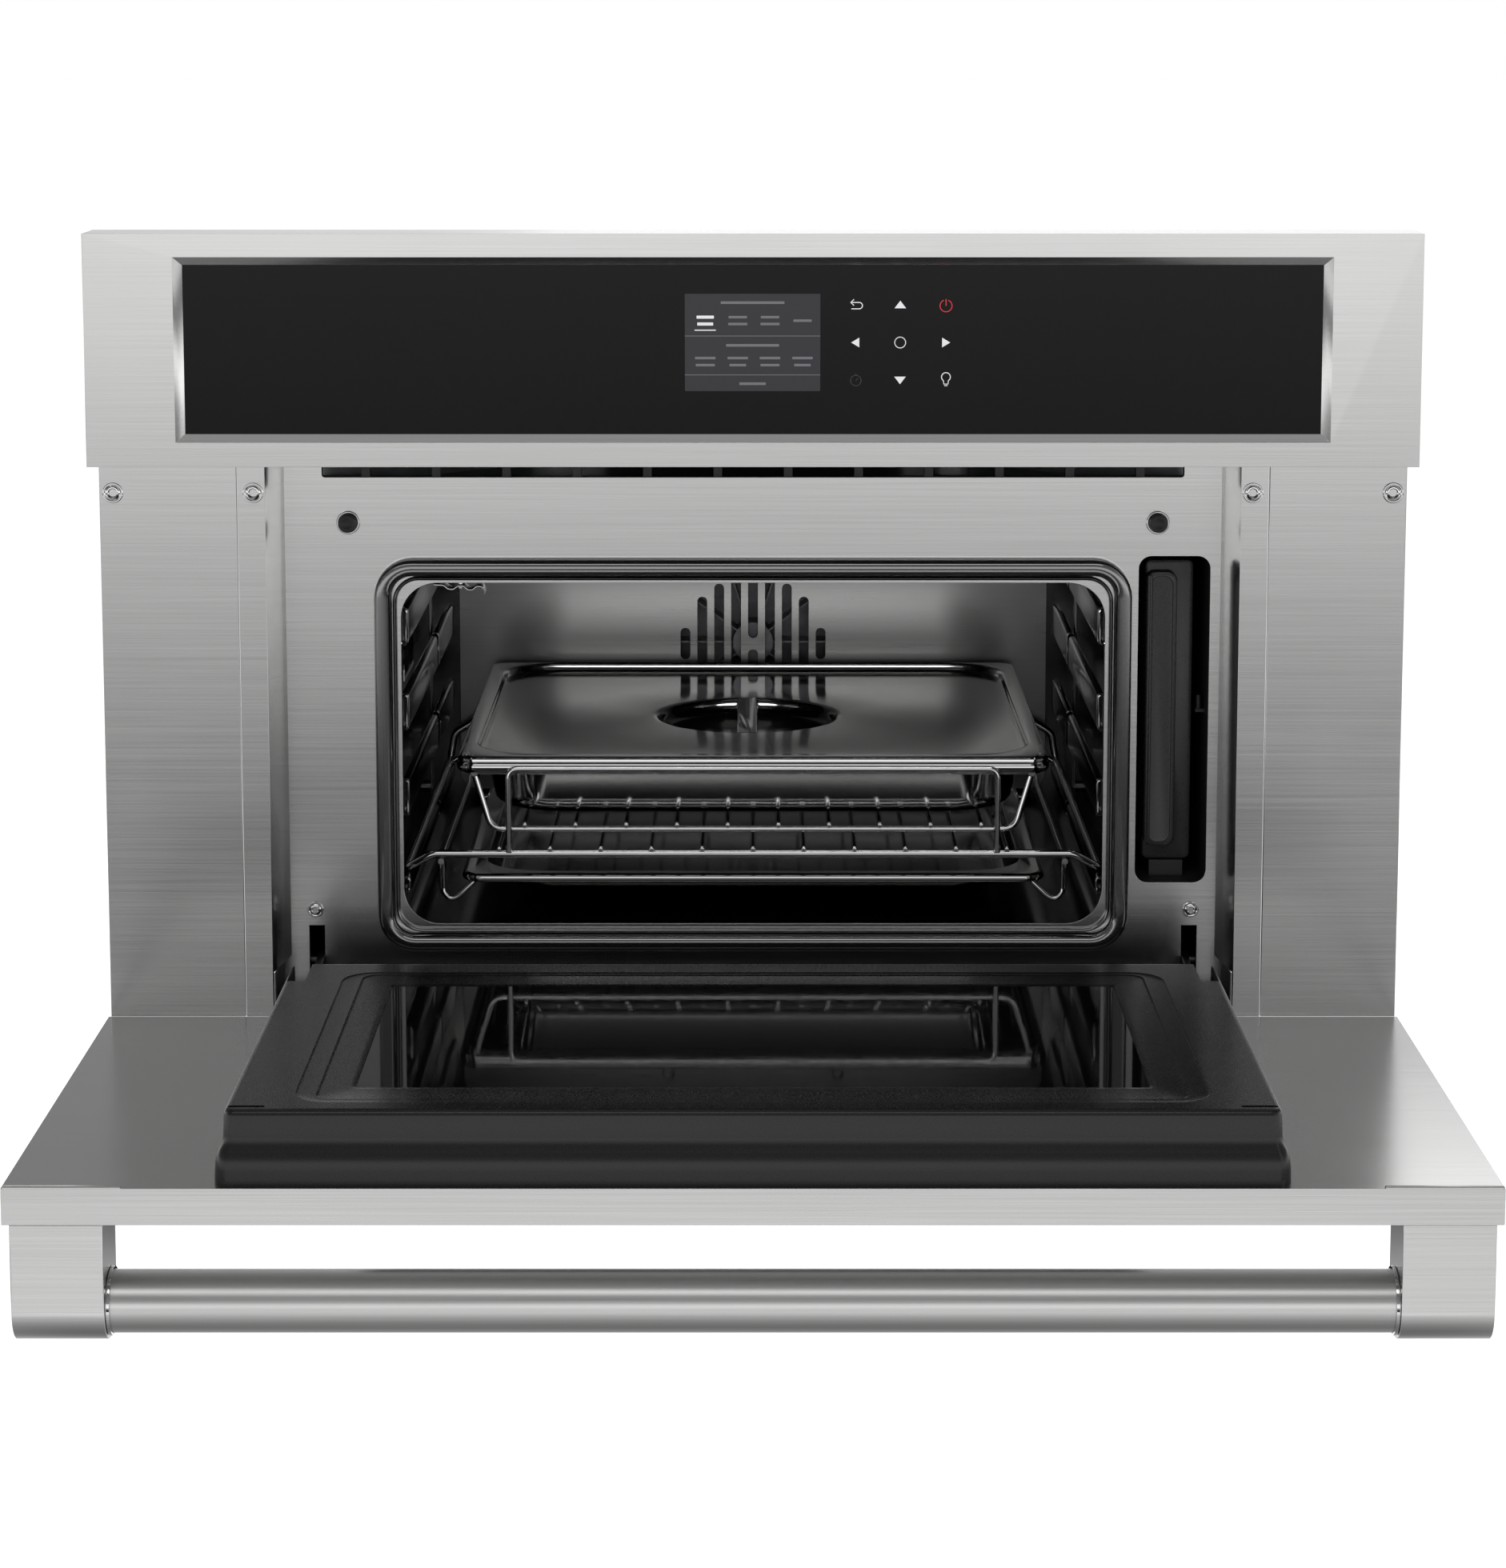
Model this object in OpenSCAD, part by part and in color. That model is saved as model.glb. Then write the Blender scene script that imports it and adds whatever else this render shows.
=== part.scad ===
// Built-in combi steamer oven, nominal 30 inch, drop-down door open.
// Frame: X to the right, Y into the cabinet, Z up. The origin is on the base,
// on the centre line, in the plane of the cabinet's face.

/* [Overall] */
// Width of the control panel and of the door
overall_w = 755.6; // [752:0.2:760]
// Width of the trim flange
flange_w = 754; // [750:0.5:755]
// Height of the trim flange, up to the control panel
flange_h = 329.6; // [329:0.2:331]
// Height of the control panel
panel_h = 132.4; // [130:0.2:135]
// How far the control panel stands out from the cabinet
panel_depth = 37; // [36:0.5:40]

/* [Body] */
// Width of the body behind the flange
body_w = 565; // [565:1:575]
// Height of the body
body_h = 420; // [418:1:424]
// Depth of the body behind the cabinet's face
body_depth = 556; // [556:1:600]
// Depth of the recess that the closed door's liner fills
recess_depth = 40; // [39:0.5:41]
// Thickness of the body's sheet steel
sheet = 1.2; // [1:0.1:1.3]

/* [Cavity] */
// Width of the cavity behind its front opening
cavity_w = 444; // [440:1:444]
// Height of the cavity
cavity_h = 220; // [218:1:222]
// Depth of the cavity's rear wall behind the front frame
cavity_depth = 446; // [446:1:450]
// Width of the cavity's front opening
opening_w = 416; // [412:1:418]
// Height of the cavity's front opening
opening_h = 206; // [202:1:208]

/* [Door] */
// Length of the open door, from hinge edge to front edge
door_len = 322.7; // [320:0.1:323]
// Thickness of the door's outer skin
skin_t = 19; // [18:0.5:19]
// Height of the liner above the skin
liner_t = 37.5; // [36:0.5:37.5]
// Radius of the handle's bar
bar_r = 16; // [14:0.5:16]
// Distance of the bar's axis from the skin
bar_reach = 46; // [40:1:50]

/* [Water tank] */
// Width of the tank slot in the front frame
slot_w = 42.2; // [40:0.1:42.4]
// Height of the tank slot
slot_h = 196.7; // [190:0.1:197]

/* [Hidden] */
$fn = 48;

// Flange and front frame
flange_t = 2.4;
strip_in = 281.5;              // inner edge of the cheek's front strip
strip_out = 297.4;             // outer edge of the same strip
recess_in = 275.7;             // half width of the recess at its back
frame_t = 1.5;
frame_back = recess_depth + frame_t;
body_in = body_w / 2 - sheet - 0.3;
mount_z = 310.4;               // height of the four mounting holes
outer_hole_x = 369.2;
inner_hole_x = 288.3;
mount_hole_r = 2.4;
dimple_r = 5.8;

// Cavity
cavity_mid = 148.3;            // height of the opening's centre
cavity_low = 36;
cavity_top = cavity_low + cavity_h;
cavity_back = frame_back + cavity_depth;
cavity_skin = 1.2;
fan_z = 146;
cover_y = 440;                 // front face of the fan cover
rail_tops = [229, 176.5, 124, 63.6];
rail_h = 22;
rail_x = 209;                  // inner face of the shelf rails
rail_y = [80, 428];

// Door, in its open pose
hinge_y = -5.85;               // axis of the door hinge
hinge_z = 3.15;
skin_top = 1;
skin_low = skin_top - skin_t;
door_back = -6;
door_front = door_back - door_len;
liner_back = -21.4;
liner_front = -323.4;
liner_top = skin_top + liner_t;
window_w = 409;
window_y = [-273.8, -72.1];
bracket_x = [327, 374];        // inner and outer side of a handle bracket
bracket_r = 19;
bar_y = door_front + bracket_r;
bar_z = skin_low - bar_reach;
screw_x = [339, 362];

// Hinges
hinge_x = 260.3;               // centre of a hinge slot
link_y = 46;                   // axis of the swinging link
link_z = 22;
link_len = 86;
link_droop = 8;                // slope of the link with the door open, degrees
link_t = 4.5;
arm_t = 3;

// Tank
slot_x = 227.5;
slot_z = 70.5;
tank_wall = 1.4;
tank_x = [233.5, 262.5];
tank_z = [80, 262];

// Accessories
wire_r = 1.5;
frame_wire_r = 2.6;
rack_y = [97, 428];
rack_z = 75;
wire_pitch = 31;
pan_y = [99, 430];
pan_half = 178.5;
rim_z = 128.6;

steel = [0.78, 0.78, 0.77];
galvanised = [0.62, 0.63, 0.64];
black = [0.06, 0.06, 0.065];
enamel = [0.22, 0.22, 0.23];
chrome_wire = [0.8, 0.8, 0.8];

// ---- helpers -------------------------------------------------------------

// A rectangle with true round corners, centred on the origin.
module rounded(w, h, r) {
    square([w - 2 * r, h], center = true);
    square([w, h - 2 * r], center = true);
    for (sx = [-1, 1], sz = [-1, 1])
        translate([sx * (w / 2 - r), sz * (h / 2 - r)]) circle(r);
}

// A flat plate standing upright: its outline is drawn in X and Z.
module upright(y, t) translate([0, y + t, 0]) rotate([90, 0, 0]) linear_extrude(t) children();

// A bar along X: its outline is drawn in Y and Z.
module along_x(x, len) translate([x, 0, 0]) rotate([90, 0, 90]) linear_extrude(len) children();

// A box from two corners.
module block(a, b) translate(a) cube([b[0] - a[0], b[1] - a[1], b[2] - a[2]]);

// A round rod between two points.
module rod(a, b, r) {
    d = b - a;
    h = norm(d);
    translate(a) rotate([0, acos(d[2] / h), atan2(d[1], d[0])]) cylinder(r = r, h = h);
}

// A wire through a list of points, with round bends.
module wire(points, r) {
    for (i = [0:len(points) - 2]) rod(points[i], points[i + 1], r);
    for (i = [1:len(points) - 2]) translate(points[i]) sphere(r);
}

// A bent wire of eight sides, mitred at its bends: the ring of each bend is the
// ring before it, slid along the wire to the plane that halves the bend.
function unit(v) = v / norm(v);
function slid(ring, dir, p, n) = [for (q = ring) q + dir * (((p - q) * n) / (dir * n))];
function bend_normal(p, i) = i == len(p) - 1 ? unit(p[i] - p[i - 1])
    : unit(unit(p[i] - p[i - 1]) + unit(p[i + 1] - p[i]));
function rings_from(p, ring, i) = i == len(p) ? [] :
    let (next = slid(ring, unit(p[i] - p[i - 1]), p[i], bend_normal(p, i)))
    concat([next], rings_from(p, next, i + 1));
module tube(p, r, sides = 8) {
    d = unit(p[1] - p[0]);
    u = unit(cross(d, abs(d[2]) < 0.9 ? [0, 0, 1] : [0, 1, 0]));
    v = cross(d, u);
    start = [for (k = [0:sides - 1]) p[0] + r * (u * cos(360 * k / sides) + v * sin(360 * k / sides))];
    rings = concat([start], rings_from(p, start, 1));
    last = (len(p) - 1) * sides;
    polyhedron(
        points = [for (ring = rings) for (q = ring) q],
        faces = concat(
            [[for (k = [0:sides - 1]) k]],
            [[for (k = [sides - 1:-1:0]) last + k]],
            [for (i = [0:len(p) - 2], k = [0:sides - 1]) let (a = i * sides, b = (k + 1) % sides)
                [a + k, a + sides + k, a + sides + b, a + b]]));
}

// A round hole or pin along X, Y or Z.
module pin_x(x0, x1, y, z, r) translate([x0, y, z]) rotate([0, 90, 0]) cylinder(r = r, h = x1 - x0);
module pin_y(x, y0, y1, z, r) translate([x, y1, z]) rotate([90, 0, 0]) cylinder(r = r, h = y1 - y0);

module mirrored_pair() {
    children();
    mirror([1, 0, 0]) children();
}

// ---- casing --------------------------------------------------------------

module base_pan() color(galvanised) difference() {
    union() {
        block([-body_in, -flange_t, 0], [body_in, body_depth - 0.2, sheet]);
        mirrored_pair() {
            block([body_in - sheet, 150, sheet], [body_in, body_depth - 10, 14]);
            block([body_in - sheet, 0.6, sheet], [body_in, recess_depth - 0.2, 25.8]);
        }
    }
    mirrored_pair() block([hinge_x - 16, -flange_t - 1, -1], [hinge_x + 16, 0.6, sheet + 1]);
}

module side_panel() color(galvanised) difference() {
    along_x(body_w / 2 - sheet, sheet) polygon([
        [recess_depth, 1.4], [body_depth - 0.2, 1.4], [body_depth - 0.2, body_h - sheet],
        [0.2, body_h - sheet], [0.2, flange_h + 0.6], [recess_depth, flange_h + 0.6]]);
    for (i = [0:7])
        block([body_w / 2 - 3, 330 + 24 * i, 344], [body_w / 2 + 1, 336 + 24 * i, 394]);
}
module side_panel_right() side_panel();
module side_panel_left() mirror([1, 0, 0]) side_panel();

module top_cover() color(galvanised) difference() {
    block([-body_w / 2, 0.2, body_h - sheet], [body_w / 2, body_depth - 0.2, body_h]);
    for (i = [0:9])
        block([-180 + 36 * i, 470, body_h - 3], [-164 + 36 * i, 474, body_h + 1]);
}

module rear_cover() color(galvanised) difference() {
    block([-body_w / 2, body_depth, 0], [body_w / 2, body_depth + sheet, body_h]);
    for (i = [0:11])
        block([-150 + 26 * i, body_depth - 1, 330], [-140 + 26 * i, body_depth + 3, 372]);
    pin_y(-190, body_depth - 1, body_depth + 3, 392, 11);
}

// ---- trim flange and front frame -------------------------------------------

module dimpled_hole(x, dimple) {
    pin_y(x, -flange_t - 1, 1, mount_z, mount_hole_r);
    pin_y(x, -flange_t - 1, -flange_t + dimple, mount_z, dimple_r);
}

module trim_flange() color(steel) difference() {
    block([strip_out + 0.4, -flange_t, 0], [flange_w / 2, 0, flange_h - 0.2]);
    dimpled_hole(outer_hole_x, 0.8);
}
module trim_flange_right() trim_flange();
module trim_flange_left() mirror([1, 0, 0]) trim_flange();

// The inner strip of the flange, folded into the tapering wall of the recess.
module frame_cheek() color(steel) difference() {
    union() {
        block([strip_in, -flange_t, 0], [strip_out, 0, flange_h - 0.2]);
        translate([0, 0, 26]) linear_extrude(flange_h - 26.2) polygon([
            [strip_in, -flange_t], [recess_in, recess_depth - 0.1],
            [recess_in + sheet, recess_depth - 0.1], [strip_in + sheet, 0], [strip_in + sheet, -flange_t]]);
    }
    dimpled_hole(inner_hole_x, 0.8);
}
module frame_cheek_right() frame_cheek();
module frame_cheek_left() mirror([1, 0, 0]) frame_cheek();

module front_frame() color(steel) difference() {
    upright(recess_depth, frame_t) difference() {
        translate([-body_in, 4]) square([2 * body_in, 341]);
        translate([0, cavity_mid]) rounded(opening_w, opening_h, 21.5);
        translate([slot_x + slot_w / 2, slot_z + slot_h / 2]) rounded(slot_w, slot_h, 7.6);
        translate([0, 321]) rounded(507, 14, 2);
        for (s = [-1, 1]) translate([s * hinge_x - 4.6, 3]) square([9.2, 41.4]);
    }
    mirrored_pair() {
        pin_y(260, recess_depth - 1, frame_back + 1, 54.2, 2.4);
        pin_y(260, recess_depth - 1, recess_depth + 0.6, 54.2, 4.7);
        pin_y(238.2, recess_depth - 1, frame_back + 1, 287.3, 4.5);
    }
}

module vent_grille() color(black) upright(frame_back + 0.2, 6) difference() {
    translate([0, 321]) square([516, 22], center = true);
    for (k = [-5:5]) translate([41.4 * k, 321]) square([36.4, 13.6], center = true);
    for (s = [-1, 1]) translate([s * 241.8, 321]) square([23.2, 13.6], center = true);
}

module door_bumpers() color(black) mirrored_pair() {
    pin_y(238.2, 31.5, recess_depth - 0.1, 287.3, 5.4);
    pin_y(238.2, recess_depth - 0.1, frame_back + 4, 287.3, 4.4);
}

// ---- control panel ---------------------------------------------------------

window_mid = 396.1;            // height of the glass's centre

module control_fascia() color(steel) difference() {
    union() {
        difference() {
            block([-overall_w / 2, -panel_depth, flange_h], [overall_w / 2, 0, flange_h + panel_h]);
            block([-overall_w / 2 + 1.5, -panel_depth + 1.5, flange_h + 1.5],
                  [overall_w / 2 - 1.5, 1, flange_h + panel_h - 1.5]);
        }
        translate([0, 0, window_mid]) block([-329, -panel_depth, -55], [329, -panel_depth + 4, 55]);
        // The back plate, open to the body behind it.
        difference() {
            block([-overall_w / 2 + 1, -1.2, flange_h + 1], [overall_w / 2 - 1, 0, flange_h + panel_h - 1]);
            block([-260, -2, flange_h + 12], [260, 1, body_h - 14]);
        }
    }
    // The bevel that leads down to the glass.
    hull() {
        upright(-panel_depth - 0.01, 0.01) translate([0, window_mid]) square([653.6, 105.1], center = true);
        upright(-panel_depth + 3.6, 0.01) translate([0, window_mid]) square([643.8, 95.9], center = true);
    }
    upright(-panel_depth + 3, 2) translate([0, window_mid]) square([643.8, 95.9], center = true);
}

module control_glass() color([0.07, 0.07, 0.07])
    upright(-panel_depth + 4, 3) translate([0, window_mid]) square([652, 104], center = true);

module display_module() color([0.16, 0.16, 0.18])
    block([-44, -panel_depth + 7.1, 366], [44, -panel_depth + 15, 434]);

module control_board() color("darkgreen") {
    block([-140, -20, 348], [140, -18.4, 444]);
    for (x = [-110, -60, 62, 108]) block([x - 9, -18.4, 380], [x + 9, -14, 400]);
    block([-30, -18.4, 412], [30, -8, 426]);
}

// ---- cavity ------------------------------------------------------------------

module cavity_shell() color([0.7, 0.7, 0.7]) difference() {
    upright(frame_back + 0.2, cavity_depth + cavity_skin) translate([0, cavity_low + cavity_h / 2])
        rounded(cavity_w + 2 * cavity_skin, cavity_h + 2 * cavity_skin, 19.2);
    upright(frame_back - 1, cavity_depth + 1) translate([0, cavity_low + cavity_h / 2])
        rounded(cavity_w, cavity_h, 18);
    pin_y(0, cavity_back - 2, cavity_back + 4, fan_z, 6);
    for (x = [-20, 20]) pin_y(x, cavity_back - 2, cavity_back + 4, 218, 4.2);
    pin_x(-cavity_w / 2 - 3, -cavity_w / 2 + 2, 300, 240, 5.2);
    translate([120, 120, cavity_top - 2]) cylinder(r = 11, h = 6);
}

// One side of the gasket's moulding: a band with a round crown, 9.7 high.
gasket_band = 14;
gasket_high = 9.7;
module gasket_profile() {
    translate([-gasket_band / 2, 0]) square([gasket_band, gasket_high - gasket_band / 2]);
    intersection() {
        translate([0, gasket_high - gasket_band / 2]) circle(gasket_band / 2);
        translate([-gasket_band, 0]) square([2 * gasket_band, gasket_high]);
    }
}

gasket_x = 216.5;              // centre line of the band
gasket_z = 111.25;
gasket_bend = 16;
module cavity_gasket() color(black) translate([0, recess_depth, cavity_mid - 0.25]) rotate([90, 0, 0]) {
    for (s = [0, 1]) mirror([s, 0, 0]) translate([gasket_x, gasket_z - gasket_bend, 0])
        rotate([90, 0, 0]) linear_extrude(2 * (gasket_z - gasket_bend)) gasket_profile();
    for (s = [0, 1]) mirror([0, s, 0]) translate([-gasket_x + gasket_bend, gasket_z, 0])
        rotate([90, 0, 90]) linear_extrude(2 * (gasket_x - gasket_bend)) gasket_profile();
    for (sx = [0, 1], sy = [0, 1]) mirror([sx, 0, 0]) mirror([0, sy, 0])
        translate([gasket_x - gasket_bend, gasket_z - gasket_bend, 0])
            rotate_extrude(angle = 90) translate([gasket_bend, 0]) gasket_profile();
}

module insulation_wrap() color([0.85, 0.8, 0.6]) difference() {
    block([-243.4, frame_back + 0.4, 15], [226.1, 506, 277]);
    block([-cavity_w / 2 - 1.4, frame_back, cavity_low - 1.4],
          [cavity_w / 2 + 1.4, cavity_back + 1.6, cavity_top + 1.4]);
    pin_y(0, 480, 510, fan_z, 16);
    for (x = [-20, 20]) pin_y(x, 480, 510, 218, 6);
    pin_x(-250, -220, 300, 240, 6);
    translate([120, 120, 250]) cylinder(r = 12.4, h = 40);
}

slot_pitch = 11.8;
slot_circle = 48.5;
module fan_cover() color([0.72, 0.72, 0.72]) {
    upright(cover_y, sheet) difference() {
        translate([0, 147.5]) rounded(409, 209, 12);
        for (k = [-4:4]) {
            h = sqrt(pow(slot_circle, 2) - pow(slot_pitch * k, 2));
            if (k == 0) for (s = [-1, 1]) translate([0, fan_z + s * (h + 4) / 2]) rounded(6.9, h - 4, 3.4);
            else translate([slot_pitch * k, fan_z]) rounded(6.9, 2 * h, 3.4);
        }
    }
    mirrored_pair() for (z = [70, 225]) pin_y(190, cover_y + sheet, cavity_back - 0.2, z, 5);
}

// A ladder carries four rails, each a channel open towards the wall.
module shelf_ladder() color(chrome_wire) {
    for (z = rail_tops) {
        block([rail_x, rail_y[0], z - rail_h], [rail_x + 1, rail_y[1], z]);
        for (dz = [0, rail_h - 1])
            block([rail_x + 1, rail_y[0], z - rail_h + dz], [214, rail_y[1], z - rail_h + dz + 1]);
        for (y = [rail_y[0], 300])
            block([rail_x + 1, y, z - rail_h + 1], [214, y + 1, z - 1]);
    }
    for (y = [92, 312]) block([214, y, 42], [215.2, y + 16, 232]);
    for (y = [100, 320], z = [70, 215]) pin_x(215.2, cavity_w / 2 - 0.1, y, z, 4);
}
module shelf_ladder_right() shelf_ladder();
module shelf_ladder_left() mirror([1, 0, 0]) shelf_ladder();

// A bright sprung clip under the ceiling that holds the steam sensor.
module steam_sensor() color(chrome_wire) {
    block([-191, 66, 245], [-160, 80, 246]);
    pin_x(-188, -162, 73, 242.5, 2.6);
    block([-178, 70, 246], [-172, 76, cavity_top]);
}

module oven_lamp() color([0.95, 0.93, 0.85]) {
    block([-cavity_w / 2 + 0.1, 184, 166], [-cavity_w / 2 + 2.4, 246, 200]);
}

// ---- air and heat --------------------------------------------------------------

module ring_heater() color([0.35, 0.33, 0.32]) {
    for (y = [452, 466]) translate([0, y, fan_z]) rotate([90, 0, 0]) rotate_extrude() translate([72, 0]) circle(3.5);
    for (x = [-20, 20]) pin_y(x, 452, 505, 218, 3.5);
}

module fan_motor() color(galvanised) difference() {
    union() {
        block([-60, 506.2, fan_z - 50], [60, 508, fan_z + 50]);
        pin_y(0, 508, 548, fan_z, 32);
        pin_y(0, 548, 553, fan_z, 12);
    }
    pin_y(0, 500, 540, fan_z, 4.05);
}

module fan_wheel() color([0.66, 0.66, 0.66]) {
    pin_y(0, 447, 538, fan_z, 4);
    pin_y(0, 446, 470, fan_z, 14);
    pin_y(0, 470, 471.2, fan_z, 58);
    for (i = [0:9]) translate([0, 0, fan_z]) rotate([0, 36 * i, 0])
        block([13.5, 448, -0.6], [56, 470, 0.6]);
}

blower_y = 265;
blower_z = 354;
module blower_housing() color(galvanised) difference() {
    block([-95, 205, 296], [95, 325, 412]);
    block([-93.5, 206.5, 297.5], [93.5, 323.5, 410.5]);
    block([-93.5, 200, 306.8], [93.5, 210, 331.2]);
    pin_x(-100, -90, blower_y, blower_z, 32);
    pin_x(90, 100, blower_y, blower_z, 10);
}

module blower_wheel() color([0.5, 0.5, 0.5]) {
    pin_x(-86, 128, blower_y, blower_z, 4);
    for (x = [-86, 0, 84.8]) pin_x(x, x + 1.2, blower_y, blower_z, 46);
    for (i = [0:23]) translate([0, blower_y, blower_z]) rotate([15 * i, 0, 0])
        block([-86, 38, -0.5], [86, 45.5, 0.5]);
}

module blower_motor() color(galvanised) difference() {
    union() {
        pin_x(95.1, 98, blower_y, blower_z, 36);
        pin_x(98, 140, blower_y, blower_z, 28);
    }
    pin_x(90, 132, blower_y, blower_z, 4.05);
}

// The duct carries the cooling air from the blower to the vent grille.
module duct_outline(inset) polygon([
    [-256 + inset, 47.9 - 2 * inset], [256 - inset, 47.9 - 2 * inset],
    [95 - inset, 204.8 + 2 * inset], [-95 + inset, 204.8 + 2 * inset]]);
module air_duct() color(galvanised) difference() {
    translate([0, 0, 306]) linear_extrude(26) duct_outline(0);
    translate([0, 0, 307]) linear_extrude(24) duct_outline(1);
    translate([120, 120, 300]) cylinder(r = 12.2, h = 7.5);
}

module exhaust_pipe() color(chrome_wire) difference() {
    translate([120, 120, cavity_top + cavity_skin + 0.1]) cylinder(r = 12, h = 54);
    translate([120, 120, cavity_top - 1]) cylinder(r = 11, h = 70);
}

// ---- water and steam -------------------------------------------------------------

module tank_housing() color(black) {
    difference() {
        block([226.3, frame_back + 0.2, 69], [271.2, 340, 269]);
        block([226.3 + tank_wall, frame_back - 1, 69 + tank_wall], [271.2 - tank_wall, 340 - tank_wall, 269 - tank_wall]);
        pin_y(248, 335, 345, 95, 6.3);
    }
    block([238, 60, 69 + tank_wall], [258, 320, 79.7]);
    // The latch that holds the tank in, moulded on the inner wall.
    block([264.5, 60, 170], [271, 66, 172]);
    translate([266.6, 63, 172]) cylinder(r = 1.6, h = 8);
}

module tank_coupling() color([0.25, 0.25, 0.26]) difference() {
    pin_y(248, 331, 352, 95, 6);
    pin_y(248, 330, 353, 95, 3);
}

module water_tank() color([0.2, 0.2, 0.2]) difference() {
    union() {
        block([tank_x[0], 62, tank_z[0]], [tank_x[1], 330, tank_z[1]]);
        block([tank_x[0], 52, 90], [251.8, 62, 256]);
    }
    block([tank_x[0] + 2, 64, tank_z[0] + 2], [tank_x[1] - 2, 328, tank_z[1] - 2]);
    pin_y(248, 327, 331, 95, 4);
}

module water_pump() color([0.3, 0.3, 0.32]) {
    block([234, 352, 78], [274, 400, 120]);
    pin_y(254, 400, 408, 99, 4);
}

module supply_hose() color([0.9, 0.9, 0.88])
    wire([[254, 408, 99], [254, 530, 99], [254, 530, 60], [-262, 530, 60], [-262, 433.2, 60]], 4.5);

module steam_generator() color(chrome_wire) {
    translate([-262, 0, 0]) {
        block([-15, 255, 50], [15, 425, 205]);
        translate([0, 300, 205]) cylinder(r = 5, h = 8);
    }
    pin_y(-262, 425, 433, 60, 4.2);
}

module steam_pipe() color(chrome_wire)
    wire([[-262, 300, 213], [-262, 300, 240], [-223.4, 300, 240]], 4.8);

module terminal_box() color(black)
    difference() {
        block([-225, 500, 366], [-155, 553, 416]);
        block([-222, 503, 369], [-158, 554, 413]);
    }

// ---- hinges ---------------------------------------------------------------------

// The fixed bracket: a box behind the front frame, an arm out to the door's pivot,
// and the pin that the link swings on.
module hinge_bracket() color(galvanised) {
    difference() {
        union() {
            for (x = [250, 268.5]) block([x, frame_back + 0.2, 1.4], [x + 1.5, 140, 60]);
            block([251.5, 60, 1.4], [268.5, 140, 2.9]);
            block([251.5, 138, 2.9], [268.5, 140, 60]);
            block([261.8, hinge_y, 1.4], [261.8 + arm_t, 138, 8.9]);
            pin_x(261.8, 261.8 + arm_t, hinge_y, hinge_z, 5.8);
        }
        pin_x(240, 280, hinge_y, hinge_z, 3.05);
    }
    pin_x(250, 270, link_y, link_z, 2.5);
}
module hinge_bracket_right() hinge_bracket();
module hinge_bracket_left() mirror([1, 0, 0]) hinge_bracket();

// The link swings behind the front frame and reaches into the door's channel.
module hinge_links() color([0.16, 0.16, 0.17]) mirrored_pair() difference() {
    translate([256, link_y, link_z]) rotate([link_droop, 0, 0]) {
        block([0, -link_len + 4.5, -4.5], [link_t, 0, 4.5]);
        pin_x(0, link_t, 0, 0, 5);
        pin_x(0, link_t, -link_len + 4.5, 0, 4.5);
    }
    pin_x(240, 280, link_y, link_z, 2.55);
}

module hinge_channels() color(galvanised) mirrored_pair() {
    difference() {
        union() {
            for (x = [251.5, 266]) {
                block([x, -190, 1.2], [x + 1.5, -30, 26]);
                block([x, -30, 1.2], [x + 1.5, hinge_y, 8.9]);
                pin_x(x, x + 1.5, hinge_y, hinge_z, 5.8);
            }
            block([253, -190, 1.2], [266, -40, 2.4]);
            block([253, -190, 2.4], [266, -188.5, 26]);
        }
        pin_x(240, 280, hinge_y, hinge_z, 3);
    }
}

module hinge_pins() color([0.5, 0.5, 0.5]) mirrored_pair() pin_x(251.5, 267.5, hinge_y, hinge_z, 3);

module hinge_springs() color([0.45, 0.45, 0.46]) mirrored_pair() {
    for (i = [0:12]) translate([259.5, -128 - 4.6 * i, 13]) rotate([90, 0, 0])
        rotate_extrude() translate([4.6, 0]) circle(1.5);
    pin_y(259.5, -188.4, -122, 13, 2.4);
}

// ---- door -------------------------------------------------------------------------

module door_skin() color(steel) difference() {
    block([-overall_w / 2, door_front, skin_low], [overall_w / 2, door_back, skin_top]);
    block([-overall_w / 2 + sheet, door_front + sheet, skin_low + sheet],
          [overall_w / 2 - sheet, door_back - sheet, skin_top - sheet]);
    // Opening under the liner, and the window in the outer face.
    block([-245, liner_front + 12, -1], [245, liner_back - 12, skin_top + 1]);
    block([-window_w / 2, window_y[0], skin_low - 1], [window_w / 2, window_y[1], skin_low + 3]);
    mirrored_pair() {
        block([250, -13, -4], [269, door_back + 1, skin_top + 1]);
        for (x = screw_x) translate([x, bar_y, skin_low - 1]) cylinder(r = 2.5, h = 4);
    }
}

module liner_form(inset) hull() {
    translate([0, (liner_back + liner_front) / 2, skin_top - (inset > 0 ? 1 : 0)]) linear_extrude(0.1)
        rounded(544 - 2 * inset, liner_back - liner_front - 2 * inset, 8 - inset);
    translate([0, (liner_back + liner_front) / 2, liner_top - inset - 0.1]) linear_extrude(0.1)
        rounded(537.4 - 2 * inset, liner_back - liner_front - 2 * inset, 8 - inset);
}

module door_liner() color(enamel) difference() {
    liner_form(0);
    liner_form(1.5);
    block([-window_w / 2, window_y[0], 30], [window_w / 2, window_y[1], 45]);
    mirrored_pair() {
        block([255.1, -67, 5], [265.4, -10, 45]);
        block([250.5, -31, 0], [268.5, -10, 14]);
        block([246.3, -313, 30], [265.4, -310, 45]);
    }
}

module inner_glass() color([0.1, 0.1, 0.1])
    block([-214, window_y[0] - 9, 33.4], [214, window_y[1] + 9, 36.9]);
module middle_glass() color([0.2, 0.2, 0.2])
    block([-214, window_y[0] - 9, 14], [214, window_y[1] + 9, 17]);
module outer_glass() color([0.1, 0.1, 0.1])
    block([-230, window_y[0] - 14, skin_low + sheet], [230, window_y[1] + 14, skin_low + sheet + 4]);

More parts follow.
